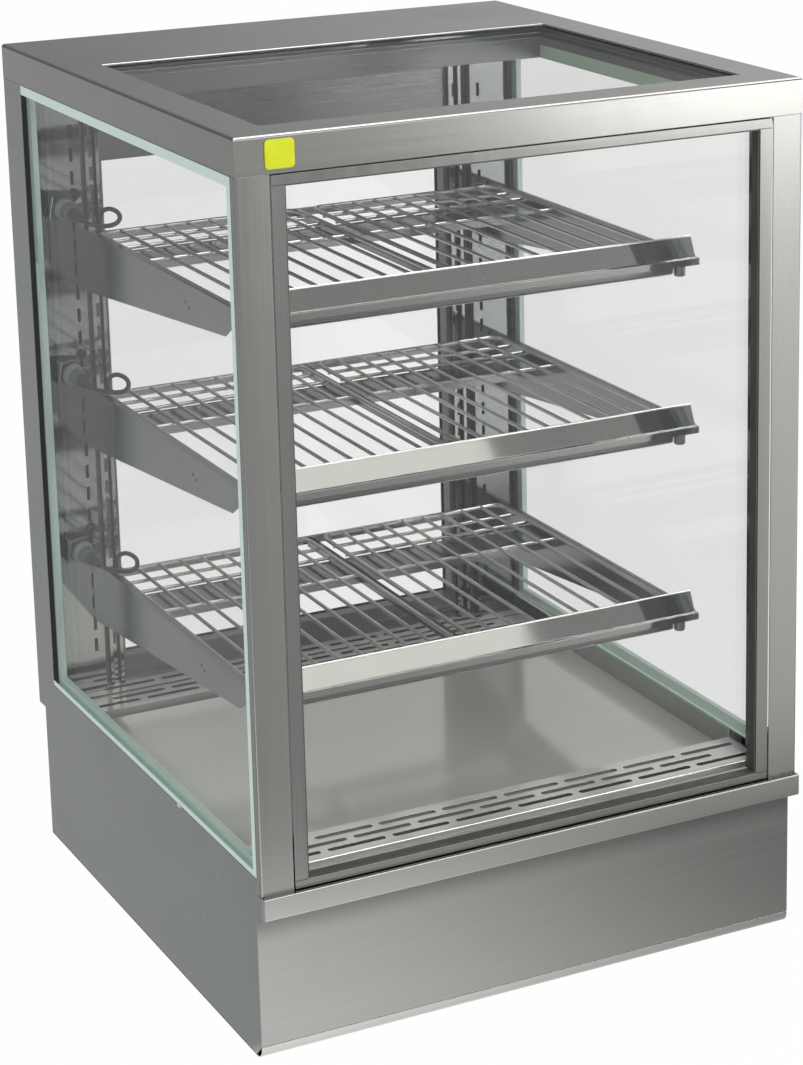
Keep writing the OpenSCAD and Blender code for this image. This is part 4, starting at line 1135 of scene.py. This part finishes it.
@dataclass
class Base(Assembly):
    """Floor tray, front and rear panels and the two side skins."""

    skin_fold: float = 0.0011

    def build(self) -> None:
        """Brushed sheet, lines across the front and along the sides."""
        self.skin("base_floor", Finishes.BASE_TRAY)
        self.skin("base_front_panel", Finishes.BASE_FRONT)
        self.skin("base_rear_panel", Finishes.SHEET_X)
        for side in Side:
            fold = Bend((0, 1), (side.wall, behind(DEPTH)), self.skin_fold)
            self.skin(f"side_panel_{side.word}", Finishes.SHEET_Y, fold)


@dataclass
class Front(Assembly):
    """Lip, posts, the brackets of the front frame and the badge."""

    post_fold: float = 0.0028
    lip_face: float = behind(-0.0065)
    lip_fold: float = 0.0028
    lip_head: float = 0.0042
    badge_low: Point = (-0.2705, behind(-0.0017), 0.8725)
    badge_high: Point = (-0.2415, behind(0.0), 0.8995)
    badge_corner: float = 0.004

    def build(self) -> None:
        """Brushed posts and lip with round folds; the badge is bare."""
        # The lip's head fold takes the brighter finish, a painted highlight.
        self.skin("front_lip", Finishes.LIP, Bend((1, 2), (self.lip_face, BASE_TOP), self.lip_fold),
                  Bend((1, 2), (self.lip_face, LIP_TOP), self.lip_head, burnished=True))
        for side in Side:
            fold = Bend((0, 1), (side.wall, behind(0)), self.post_fold)
            self.skin(f"front_post_{side.word}", Finishes.SHEET_Z, fold)
        self.skin("front_pivot_brackets", Finishes.SHEET_Z)
        face = pad(self.badge_low, self.badge_high, self.badge_corner, plane=1, rim=0.0006, low_face=True)
        self.place(mesh_object("badge_face", [face]), Finishes.BADGE, "badge_plate")


@dataclass
class Roof(Assembly):
    """Folded top frame, its liner, the top glass, the sealant round it and the pale bands beside its well."""

    fold: float = 0.0030
    opening_half: float = 0.256
    opening: Pair = (behind(0.045), behind(0.450))
    rim: float = 0.0020
    well_half: float = 0.2482
    well: Pair = (behind(0.0528), behind(0.4422))
    well_head: float = HEIGHT - 0.008
    band: Pair = (0.8684, 0.8826)
    band_thickness: float = 0.0006
    play: float = 0.0009
    slack: float = 0.001

    def well_walls(self, piece: Piece) -> np.ndarray:
        """Finds the upright faces round the opening, under the ledge that carries the glass; they get a darker
        finish as painted shade.

        Args:
            piece: the top frame.

        Returns:
            A mask of its faces.
        """
        x, y, z = face_values(piece, "center").T
        within = (np.abs(x) < self.well_half + self.slack) & (z < self.well_head)
        return within & (y > self.well[0] - self.slack) & (y < self.well[1] + self.slack)

    def edge_band(self, side: Side) -> Grid:
        """Thin pale strip on the well's wall at one side.

        Args:
            side: the side.

        Returns:
            Points and quads.
        """
        wall, out = side.value * self.well_half, side.value
        near, far = sorted((wall - out * self.band_thickness, wall + out * 0.0001))
        low = (near, self.well[0] + self.slack, self.band[0])
        high = (far, self.well[1] - self.slack, self.band[1])
        return pad(low, high, 0.0004, plane=0, rim=0.0002, low_face=side is Side.RIGHT)

    def build(self) -> None:
        """Brushed frame with round folds; pale sealant fills the play round the glass."""
        folds = [Bend((0, 2), (side.wall, HEIGHT), self.fold) for side in Side]
        folds += [Bend((1, 2), (behind(y), HEIGHT), self.fold) for y in (0.0, DEPTH)]
        # The rear edge of the opening takes the brighter finish, a painted highlight.
        folds.append(Bend((1, 2), (self.opening[1], HEIGHT), self.rim, burnished=True))
        top = self.skin("top_frame", Finishes.TOP, *folds)
        # Painted shade: the well's upright walls take the dark rear-wall finish instead of the frame's own.
        self.second(top, Finishes.REAR_WALL, self.well_walls(top))
        self.skin("top_liner", Finishes.LINER)
        self.dress("top_glass", Finishes.TOP_PANE)
        low = (-self.opening_half + self.play, self.opening[0] + self.play)
        high = (self.opening_half - self.play, self.opening[1] - self.play)
        section = np.array([[0.0, -0.0042], [self.play, -0.0042], [self.play, -0.0008], [self.play / 2, -0.0013],
                            [0.0, -0.0016]])
        self.place(mesh_object("top_glass_sealant", [bead(low, high, section, 2, HEIGHT)]), Finishes.SEALANT)
        self.place(mesh_object("top_edge_bands", [self.edge_band(side) for side in Side]), Finishes.PALE_EDGE)


@dataclass
class SideGlazing(Assembly):
    """Double glazing of both sides with its edge band, the sealant round it and the small clip at its foot."""

    window: Pair = (behind(0.0103), behind(0.585))
    height: Pair = (WINDOW_FOOT, BODY_TOP)
    play: float = 0.0008
    clip_middle: float = behind(0.2073)
    clip_half: float = 0.004

    def build(self) -> None:
        """Clear panes, aqua bands, dark sealant and a white clip."""
        low = (self.window[0] + self.play, self.height[0] + self.play)
        high = (self.window[1] - self.play, self.height[1] - self.play)
        section = np.array([[0.0, -0.0055], [self.play, -0.0055], [self.play, -0.0003], [self.play / 2, -0.0007],
                            [0.0, -0.0004]])
        for side in Side:
            self.dress(f"side_glass_{side.word}", Finishes.SIDE_PANE)
            self.dress(f"side_spacer_{side.word}", Finishes.BAND)
            fill = bead(low, high, section * [1, side.value], 0, side.wall)
            self.place(mesh_object(f"side_sealant_{side.word}", [fill]), Finishes.SEALANT)
        clip = pad((-HALF_WIDTH - 0.0012, self.clip_middle - self.clip_half, WINDOW_FOOT - 0.0015),
                   (-HALF_WIDTH + 0.0002, self.clip_middle + self.clip_half, WINDOW_FOOT + 0.0022),
                   0.0012, plane=0, low_face=True)
        self.place(mesh_object("glazing_clip", [clip]), Finishes.WHITE)


@dataclass
class FrontGlass(Assembly):
    """Framed front glass that tips forward."""

    body: str = "front_glass"
    half: float = 0.265
    open_half: float = 0.2514
    seams: Pair = (0.185, 0.8571)
    seam_rows: Pair = (behind(0.00032), behind(0.0006))
    seam_half: float = 0.0003

    def build(self) -> None:
        """Brushed frame with the thin butt seams of its corners, clear pane and dark gasket."""
        self.skin("front_glass_frame", Finishes.GLASS_FRAME, edge=0.0004)
        seams, thin = [], self.seam_half
        for side in Side:
            inner, outer = sorted((side.value * self.open_half, side.value * self.half))
            seams += [pad((inner + thin, self.seam_rows[0], z - thin), (outer - thin, self.seam_rows[1], z + thin),
                          0.0001, plane=1, rim=0.00005) for z in self.seams]
        self.place(mesh_object("frame_seams", seams), Finishes.SHADED)
        self.dress("front_glass", Finishes.FRONT_PANE)
        self.dress("front_gasket", Finishes.GASKET)


@dataclass
class RearWall(Assembly):
    """Wall round the rear opening, the polished hook panels and the slotted uprights."""

    def build(self) -> None:
        """Polished inner sheet."""
        self.skin("rear_frame", Finishes.REAR_WALL)
        for side in Side:
            self.skin(f"slotted_panel_{side.word}", Finishes.HOOK_PANEL, edge=0.0003)
            self.skin(f"upright_{side.word}", Finishes.UPRIGHT, edge=0.0003)


@dataclass
class RearDoor(Assembly):
    """Glazed rear door with its gasket, pull and pins."""

    body: str = "rear_door"
    rear_face: float = behind(0.6385)
    half: float = 0.271
    fold: float = 0.0018

    def build(self) -> None:
        """Brushed frame with round rear folds, clear pane, dark gasket and pull."""
        folds = [Bend((0, 1), (s.value * self.half, self.rear_face), self.fold) for s in Side]
        self.skin("rear_door_frame", Finishes.SHEET_Z, *folds, edge=0.0004)
        self.dress("rear_door_glass", Finishes.FRONT_PANE)
        self.dress("rear_door_gasket", Finishes.SEAL)
        self.skin("rear_door_pull", Finishes.PLASTIC, edge=0.0005)
        self.dress("rear_door_pins", Finishes.SCREW)


@dataclass
class Deck(Assembly):
    """Deck pan and the two air grilles."""

    fold: float = 0.0012
    sheet: float = 0.0012
    half: float = 0.2820
    margin: float = 0.004
    wall_from: float = 0.25
    grilles: tuple[tuple[str, float, float], ...] = (
        ("front_air_grille", behind(0.0395), 0.182), ("rear_air_grille", behind(0.528), 0.172))

    def slot_walls(self, piece: Piece, hem: float, top: float) -> np.ndarray:
        """Finds the steep faces inside the air slots, which the sheet keeps from the light.

        Args:
            piece: the grille.
            hem: where the grille's front edge lies.
            top: height of the grille's top face.

        Returns:
            A mask of its faces.
        """
        x, y, z = face_values(piece, "center").T
        steep = np.abs(face_values(piece, "normal")[:, 2]) < 0.9
        within = (y > hem + self.margin) & (np.abs(x) < self.half - self.margin)
        return steep & within & (z > top - 1.5 * self.sheet)

    def build(self) -> None:
        """Satin pan with polished side walls, and brushed grilles."""
        pan = self.skin("deck_pan", Finishes.PAN, edge=0.0004)
        walls = np.abs(face_values(pan, "normal")[:, 0]) > 0.8
        self.second(pan, Finishes.PAN_WALL, walls & (np.abs(face_values(pan, "center")[:, 0]) > self.wall_from))
        for node, hem, top in self.grilles:
            # The front grille's hem fold takes the brighter finish, a painted highlight.
            folds = [Bend((1, 2), (hem, top), self.fold, burnished=True)] if node == "front_air_grille" else []
            piece = self.skin(node, Finishes.GRILLE, *folds, edge=0.00025)
            self.second(piece, Finishes.SHADED, self.slot_walls(piece, hem, top))


@dataclass
class Shelf(Assembly):
    """One hooked-on shelf: frame, ticket rail with its hem, racks, lamp with its cover, rivets and holes."""

    level: Level = Level.TOP
    rivets: Pairs = ((0.2102, -0.0060), (0.1775, -0.0094))
    holes: Pairs = ((0.2672, -0.0192), (0.2588, -0.0230))
    rivet_radius: float = 0.0022
    hole_radius: float = 0.0021
    cover_half: float = 0.212
    cover_rows: Pair = (behind(0.1115), behind(0.1315))
    cover_drops: Pair = (-0.0177, -0.0163)
    hem: Pair = (behind(0.1189), 0.0183)
    hem_half: float = 0.2443
    hem_radius: float = 0.0013
    lip_head: float = -0.0024

    def marks(self, name: str, profile: list[Sequence[float]], places: Iterable[Pair],
              finish: Finish) -> None:
        """Small turned forms on the outer faces of both arms.

        Args:
            name: the piece's name.
            profile: pairs (r, h) from one pole to the other.
            places: how deep behind the posts and how far over the shelf's plane each stands.
            finish: its finish.
        """
        forms = [turned(np.array(profile), (side.value * ARM_FACE, behind(y), self.level.value + drop),
                        (side.value, 0.0, 0.0), 20) for side in Side for y, drop in places]
        self.place(mesh_object(name, forms), finish)

    def build(self) -> None:
        """Dresses the shelf's nodes and adds its hem, rivets, holes and the lamp's cover."""
        word, z = self.level.word, self.level.value
        self.body = f"{word}_shelf"
        self.skin(f"shelf_frame_{word}", Finishes.ARM, edge=0.0003)
        rail = self.skin(f"ticket_rail_{word}", Finishes.RAIL, edge=0.0005)
        # Painted shade: the rail's lower faces take the darker copy of its finish.
        self.second(rail, Finishes.RAIL_LIP, face_values(rail, "center")[:, 2] < z + self.lip_head)
        line = np.array([[x, self.hem[0], z + self.hem[1]] for x in np.linspace(-self.hem_half, self.hem_half, 5)])
        hem = tube(line, self.hem_radius, 12)
        # The hem takes the brighter finish, a painted highlight along the rail's top edge.
        self.place(mesh_object(f"rail_hem_{word}", [hem]), Finishes.BURNISHED)
        self.dress(f"rack_pair_{word}", Finishes.RACK)
        self.skin(f"shelf_lamp_{word}", Finishes.LAMP, edge=0.0006)
        dome = [(0.0, 0.0011), (0.0011, 0.0010), (0.0018, 0.0006), (self.rivet_radius, 0.0), (0.0, 0.0)]
        dish = [(0.0, 0.00012), (self.hole_radius * 0.8, 0.00012), (self.hole_radius, 0.0), (0.0, 0.0)]
        self.marks(f"arm_rivets_{word}", dome, self.rivets, Finishes.SCREW)
        self.marks(f"arm_holes_{word}", dish, self.holes, Finishes.SEAL)
        cover = pad((-self.cover_half, self.cover_rows[0], z + self.cover_drops[0]),
                    (self.cover_half, self.cover_rows[1], z + self.cover_drops[1]), 0.003, plane=2, low_face=True)
        self.place(mesh_object(f"lamp_cover_{word}", [cover]), Finishes.DIFFUSER)


@dataclass
class LampLead(Assembly):
    """One lamp's looped lead with its plug, boot, ring and seal."""

    level: Level = Level.TOP
    socket_x: float = -0.262
    socket_out: float = 0.016
    pitch: float = 16.0
    yaw: float = 20.0
    lead_radius: float = 0.0025
    ribs: Pair = (0.0034, 0.0120)
    rib_pitch: float = 0.0018
    boot: Pair = (0.0117, 0.0313)
    boot_rings: int = 6
    ring_corners: int = 96
    scallop: float = 0.035
    high_route: tuple[Point, ...] = (
        (-0.252, -0.043, 0.0125), (-0.250, -0.049, 0.0105), (-0.2465, -0.055, 0.009), (-0.2415, -0.061, 0.0085),
        (-0.236, -0.0655, 0.008), (-0.2295, -0.0685, 0.0085), (-0.223, -0.069, 0.0105), (-0.2185, -0.067, 0.0145),
        (-0.2185, -0.0635, 0.0195), (-0.2225, -0.060, 0.023), (-0.2275, -0.0565, 0.024), (-0.232, -0.053, 0.0215),
        (-0.234, -0.050, 0.016), (-0.234, -0.047, 0.0105), (-0.2335, -0.045, 0.005), (-0.2335, -0.045, 0.0))
    low_route: tuple[Point, ...] = (
        (-0.252, -0.043, 0.0065), (-0.250, -0.049, 0.0045), (-0.247, -0.056, 0.0035), (-0.242, -0.064, 0.0035),
        (-0.237, -0.0695, 0.0035), (-0.231, -0.073, 0.0035), (-0.2245, -0.0735, 0.0045), (-0.2195, -0.071, 0.008),
        (-0.2185, -0.067, 0.013), (-0.2215, -0.0625, 0.017), (-0.2265, -0.058, 0.019), (-0.231, -0.054, 0.0175),
        (-0.234, -0.050, 0.0135), (-0.234, -0.047, 0.009), (-0.2335, -0.045, 0.0045), (-0.2335, -0.045, 0.0))

    def socket_frame(self) -> tuple[np.ndarray, np.ndarray]:
        """The middle of the ring and the way the plug points, turned inwards and down.

        Returns:
            The point and the unit vector.
        """
        turn = Matrix.Rotation(math.radians(self.yaw), 3, "Z") @ Matrix.Rotation(math.radians(self.pitch), 3, "X")
        centre = (self.socket_x, PANEL_FACE - self.socket_out, self.level.value + self.level.socket_height)
        return np.array(centre), np.array(turn @ Matrix.Identity(3).col[1] * -1.0)

    def plug_profile(self) -> np.ndarray:
        """Ribbed plug body with a chamfered collar.

        Returns:
            Pairs (r, h) along the socket's axis.
        """
        along = np.linspace(*self.ribs, 36)
        rib = np.sign(np.sin(along / self.rib_pitch * 2 * np.pi)) * (along < 0.0112)
        return np.concatenate([[[0.0, 0.0033], [0.0080, 0.0033]], np.stack([0.0086 + 0.0004 * rib, along], 1),
                               [[0.0078, 0.0123], [0.0, 0.0123]]])

    def boot_profile(self) -> np.ndarray:
        """Tapered boot whose rings get narrower towards the lead.

        Returns:
            Pairs (r, h) along the socket's axis.
        """
        along = np.linspace(*self.boot, 60)
        share = (along - along[0]) / (along[-1] - along[0])
        ring = np.sign(np.sin(share * 2 * np.pi * self.boot_rings)) * (share > 0.12) * (share < 0.94)
        radius = 0.0065 - 0.0028 * share + 0.00035 * ring
        return np.concatenate([[[0.0, along[0]]], np.stack([radius, along], 1), [[0.0, along[-1]]]])

    def ring_profile(self) -> tuple[np.ndarray, np.ndarray]:
        """Locking ring with scallops for the fingers: r(u) (1 - scallop max(0, cos 12v)) between its rims.

        Returns:
            Pairs (r, h) round the ring's section, and the swell of its radius.
        """
        profile = np.array([[0.0064, -0.0030], [0.0112, -0.0030], [0.0119, -0.0024], [0.0120, -0.0020],
                            [0.0120, 0.0018], [0.0118, 0.0024], [0.0108, 0.0030], [0.0092, 0.0031],
                            [0.0064, 0.0030]])
        between_rims = np.array([0, 0, 0, 1, 1, 0, 0, 0, 0])[:, None]
        turn = np.linspace(0, 2 * np.pi, self.ring_corners, endpoint=False)
        return profile, 1 - self.scallop * between_rims * np.maximum(0, np.cos(12 * turn))

    def seal_profile(self) -> np.ndarray:
        """Pairs (r, h) round the section of the rubber seal between the ring and the socket's box."""
        turn = np.linspace(0, 2 * np.pi, 16, endpoint=False)
        return np.stack([0.0098 + 0.0034 * np.cos(turn), -0.0045 + 0.0014 * np.sin(turn)], 1)

    def build(self) -> None:
        """Builds the lead along its route and the plug, boot, ring and seal on the socket's axis."""
        word, z = self.level.word, self.level.value
        route = np.array(self.high_route if self.level is Level.TOP else self.low_route)
        route = smooth_path(route + np.array([0.0, PANEL_FACE, z]))
        lead = mesh_object(f"lead_{word}", [tube(route, self.lead_radius, 16)])
        lead.data.materials.append(Finishes.LEAD.material())
        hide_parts(f"lead_cord_{word}")
        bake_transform(lead)
        self.made.append(lead.name)
        centre, out = self.socket_frame()
        profile, swell = self.ring_profile()
        forms = {"plug": turned(self.plug_profile(), centre, out, 40),
                 "boot": turned(self.boot_profile(), centre, out, 28),
                 "ring": turned(profile, centre, out, self.ring_corners, swell, closed=True),
                 "seal": turned(self.seal_profile(), centre, out, 48, closed=True)}
        sharp = {"plug": 30, "boot": 40, "ring": 30, "seal": 35}
        made = {name: mesh_object(f"lead_{name}_{word}", [form], sharp[name]) for name, form in forms.items()}
        plug = self.place(made["plug"], Finishes.PLUG, "lead_plugs")
        boot = self.place(made["boot"], Finishes.BOOT, "lead_plugs")
        self.place(made["ring"], Finishes.COLLAR, "lead_collars")
        self.place(made["seal"], Finishes.SEAL)


@dataclass
class HeatingBay(Assembly):
    """Fan, element and plate inside the base."""

    def build(self) -> None:
        """Plain working finishes."""
        for node, finish in (("plenum_plate", Finishes.SHEET_X), ("heating_element", Finishes.HEATER),
                             ("fan_frame", Finishes.PLASTIC), ("fan_impeller", Finishes.PLASTIC)):
            self.dress(node, finish)


@dataclass
class Controls(Assembly):
    """Control panel with knob, switches and gland, and the screws of the rear."""

    face: float = behind(0.6215)
    rear_face: float = behind(0.620)
    moulded: tuple[tuple[str, float], ...] = (
        ("thermostat_knob", 0.0006), ("power_switch", 0.0005), ("light_switch", 0.0005), ("cord_gland", 0.0004))
    knob: Pair = (-0.105, 0.078)
    mark_half: float = 0.0011
    mark_rows: Pair = (0.0140, 0.0147)
    mark_ends: Pair = (0.005, 0.0185)
    dial_radius: float = 0.026
    screw_radius: float = 0.0035
    panel_screws: Pairs = (
        (-0.145, 0.041), (0.025, 0.041), (0.025, 0.115), (-0.145, 0.115))
    rear_screws: Pairs = (
        (-0.29, 0.012), (-0.1, 0.012), (0.1, 0.012), (0.29, 0.012), (-0.29, 0.142), (0.29, 0.142), (0.1, 0.142))

    def screws(self, name: str, places: Sequence[Pair], y: float) -> None:
        """Pan-head screws with a dished socket, standing out to the rear.

        Args:
            name: the piece's name.
            places: X and Z of each screw.
            y: where the sheet's face lies.
        """
        r = self.screw_radius
        profile = np.array([[0.0, 0.0007], [0.30 * r, 0.0007], [0.42 * r, 0.0019], [0.7 * r, 0.0018],
                            [0.93 * r, 0.0011], [r, 0.0003], [r, 0.0], [0.0, 0.0]])
        forms = [turned(profile, (x, y, z), (0.0, 1.0, 0.0), 24) for x, z in places]
        self.place(mesh_object(name, forms, 30), Finishes.SCREW)

    def build(self) -> None:
        """Dresses the controls and adds the dial's marks and the screws."""
        self.skin("control_panel", Finishes.SHEET_X)
        for node, edge in self.moulded:
            self.skin(node, Finishes.PLASTIC, edge=edge)
        x, z = self.knob
        mark = pad((x - self.mark_half, self.face + self.mark_rows[0], z + self.mark_ends[0]),
                   (x + self.mark_half, self.face + self.mark_rows[1], z + self.mark_ends[1]),
                   0.0010, plane=1, rim=0.0002)
        self.place(mesh_object("knob_mark", [mark]), Finishes.WHITE, body="thermostat")
        dot = np.array([[0.0, 0.0003], [0.0009, 0.0003], [0.0011, 0.0], [0.0, 0.0]])
        far = self.dial_radius
        dots = [turned(dot, (x - far * math.sin(a), self.face, z + far * math.cos(a)), (0.0, 1.0, 0.0), 16)
                for a in np.radians(np.linspace(0, 270, 10))]
        self.place(mesh_object("dial_dots", dots), Finishes.SEAL)
        self.screws("panel_screws", self.panel_screws, self.face)
        self.screws("rear_screws", self.rear_screws, self.rear_face)


@dataclass
class Sockets(Assembly):
    """The three socket boxes on the left hook panel."""

    def build(self) -> None:
        """Polished boxes with soft edges."""
        self.skin("lead_sockets", Finishes.UPRIGHT, edge=0.0012)


@dataclass(frozen=True)
class SoftBox:
    """A soft lamp: where it stands, what it faces, its size and how bright its face is."""

    name: str
    place: Point
    target: Point
    width: float
    height: float
    radiance: float
    colour: Colour = (1.0, 1.0, 1.0)
    lights_matt: bool = True

    def build(self) -> None:
        """Makes the lamp; power is radiance times pi times area."""
        data = bpy.data.lights.new(self.name, "AREA")
        data.shape, data.size, data.size_y = "RECTANGLE", self.width, self.height
        data.energy = self.radiance * math.pi * self.width * self.height
        data.color = self.colour
        lamp = add_object(self.name, data)
        lamp.location = self.place
        away = Vector(self.target) - Vector(self.place)
        lamp.rotation_euler = away.to_track_quat("-Z", "Y").to_euler()
        lamp.visible_camera = False
        lamp.visible_diffuse = self.lights_matt


@dataclass
class Studio:
    """Floor, soft lamps, world and camera."""

    floor_half: float = 14.0
    floor_level: float = -0.0002
    sky_low: float = 0.60
    sky_rise: float = 0.35
    matt_fill: float = 0.55
    rear_swing: Pair = (0.50, 1.28)
    lamps: tuple[SoftBox, ...] = (
        SoftBox("rail_box", (0.52, -2.62, 1.46), (0.52, 0.0, 1.46), 1.7, 1.2, 2.15, (1.0, 0.985, 0.94)),
        SoftBox("low_right_box", (1.90, -2.80, 0.71), (1.90, 0.0, 0.71), 1.05, 0.76, 5.5, (1.0, 0.99, 0.96)),
        SoftBox("overhead_box", (1.25, -0.50, 3.20), (1.25, -0.50, 0.0), 2.2, 3.2, 4.2, lights_matt=False),
        SoftBox("fill_box", (0.30, -1.20, 3.60), (0.0, 0.0, 0.4), 2.0, 2.0, 1.2),
    )
    eye: Point = (-1.253, behind(-2.330), 1.374)
    azimuth: float = 27.72
    drop: float = 14.29
    roll: float = -0.86
    lens: float = 36.0 * 2890.0 / 1065.0
    shift: Pair = (-0.10, -0.20)

    def camera(self) -> None:
        """Camera at the photograph's place: it looks along the azimuth and down by the drop, rolled a little."""
        data = bpy.data.cameras.new("eye")
        data.lens, data.sensor_width = self.lens, 36.0
        data.shift_x, data.shift_y = self.shift
        camera = add_object("eye", data)
        az, drop, roll = (math.radians(a) for a in (self.azimuth, self.drop, self.roll))
        ahead = np.array([math.sin(az) * math.cos(drop), math.cos(az) * math.cos(drop), -math.sin(drop)])
        right = np.cross(ahead, [0.0, 0.0, 1.0])
        right /= np.linalg.norm(right)
        up = np.cross(right, ahead)
        across = math.cos(roll) * right + math.sin(roll) * up
        above = math.cos(roll) * up - math.sin(roll) * right
        turn = np.eye(4)
        turn[:3, 0], turn[:3, 1], turn[:3, 2], turn[:3, 3] = across, above, -ahead, self.eye
        camera.matrix_world = Matrix(turn.tolist())
        bpy.context.scene.camera = camera

    def world(self) -> None:
        """White for the eye and through glass; for mirrors a grey sky, brighter overhead; else a plain fill."""
        world = bpy.data.worlds.new("studio")
        bpy.context.scene.world = world
        world.use_nodes = True
        tree = world.node_tree
        recipe = Recipe(tree)
        way = recipe.node("ShaderNodeTexCoord", out="Generated")
        height = recipe.axis(way, "Z")
        rear = recipe.axis(way, "Y").above(0.55, 0.75) * (1.0 - height.above(0.30, 0.55))
        across = recipe.axis(way, "X").above(0.22, 0.62).between(*self.rear_swing)
        sky = (height.above(0.35, 0.95) * self.sky_rise + self.sky_low) * (1.0 + rear * (across - 1.0))
        mirrored = recipe.ray("Glossy")
        eye = recipe.eye_ray()
        rest = mirrored * sky + (1.0 - mirrored) * self.matt_fill
        strength = eye + (1.0 - eye) * rest
        background = tree.nodes["Background"]
        background.inputs["Color"].default_value = (1.0, 1.0, 1.0, 1.0)
        tree.links.new(strength.socket, background.inputs["Strength"])

    def floor(self) -> None:
        """A flat floor a hair under the cabinet."""
        side = np.array([-self.floor_half, self.floor_half])
        x, y = np.meshgrid(side, side)
        points = np.stack([x, y, np.full_like(x, self.floor_level)], -1).reshape(-1, 3)
        mesh = bpy.data.meshes.new("floor")
        mesh.from_pydata(points.tolist(), [], [[0, 1, 3, 2]])
        mesh.materials.append(Finishes.FLOOR.material())
        add_object("floor", mesh)

    def build(self) -> None:
        """Sets the stage and the ray limits that layered glass needs."""
        self.camera()
        self.world()
        self.floor()
        for lamp in self.lamps:
            lamp.build()
        scene = bpy.context.scene
        scene.view_settings.view_transform = "Standard"
        scene.cycles.transparent_max_bounces = 40
        scene.cycles.max_bounces = 10
        scene.cycles.glossy_bounces = 8


def main() -> None:
    """Loads the frame, builds each sub-assembly in order and reports it."""
    logging.basicConfig(level=logging.INFO, format="%(name)s %(levelname)s %(message)s")
    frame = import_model()
    Studio().build()
    leads = [LampLead(frame, level=level) for level in Level]
    shelves = [Shelf(frame, level=level) for level in Level]
    assemblies: list[Assembly] = [
        *leads, Sockets(frame), Base(frame), Front(frame), Roof(frame), SideGlazing(frame), FrontGlass(frame),
        RearWall(frame), RearDoor(frame), Deck(frame), *shelves, HeatingBay(frame), Controls(frame)]
    for assembly in assemblies:
        assembly.build()
        LOG.info("%s: %d pieces", type(assembly).__name__, len(assembly.made))


if __name__ == "__main__":
    main()
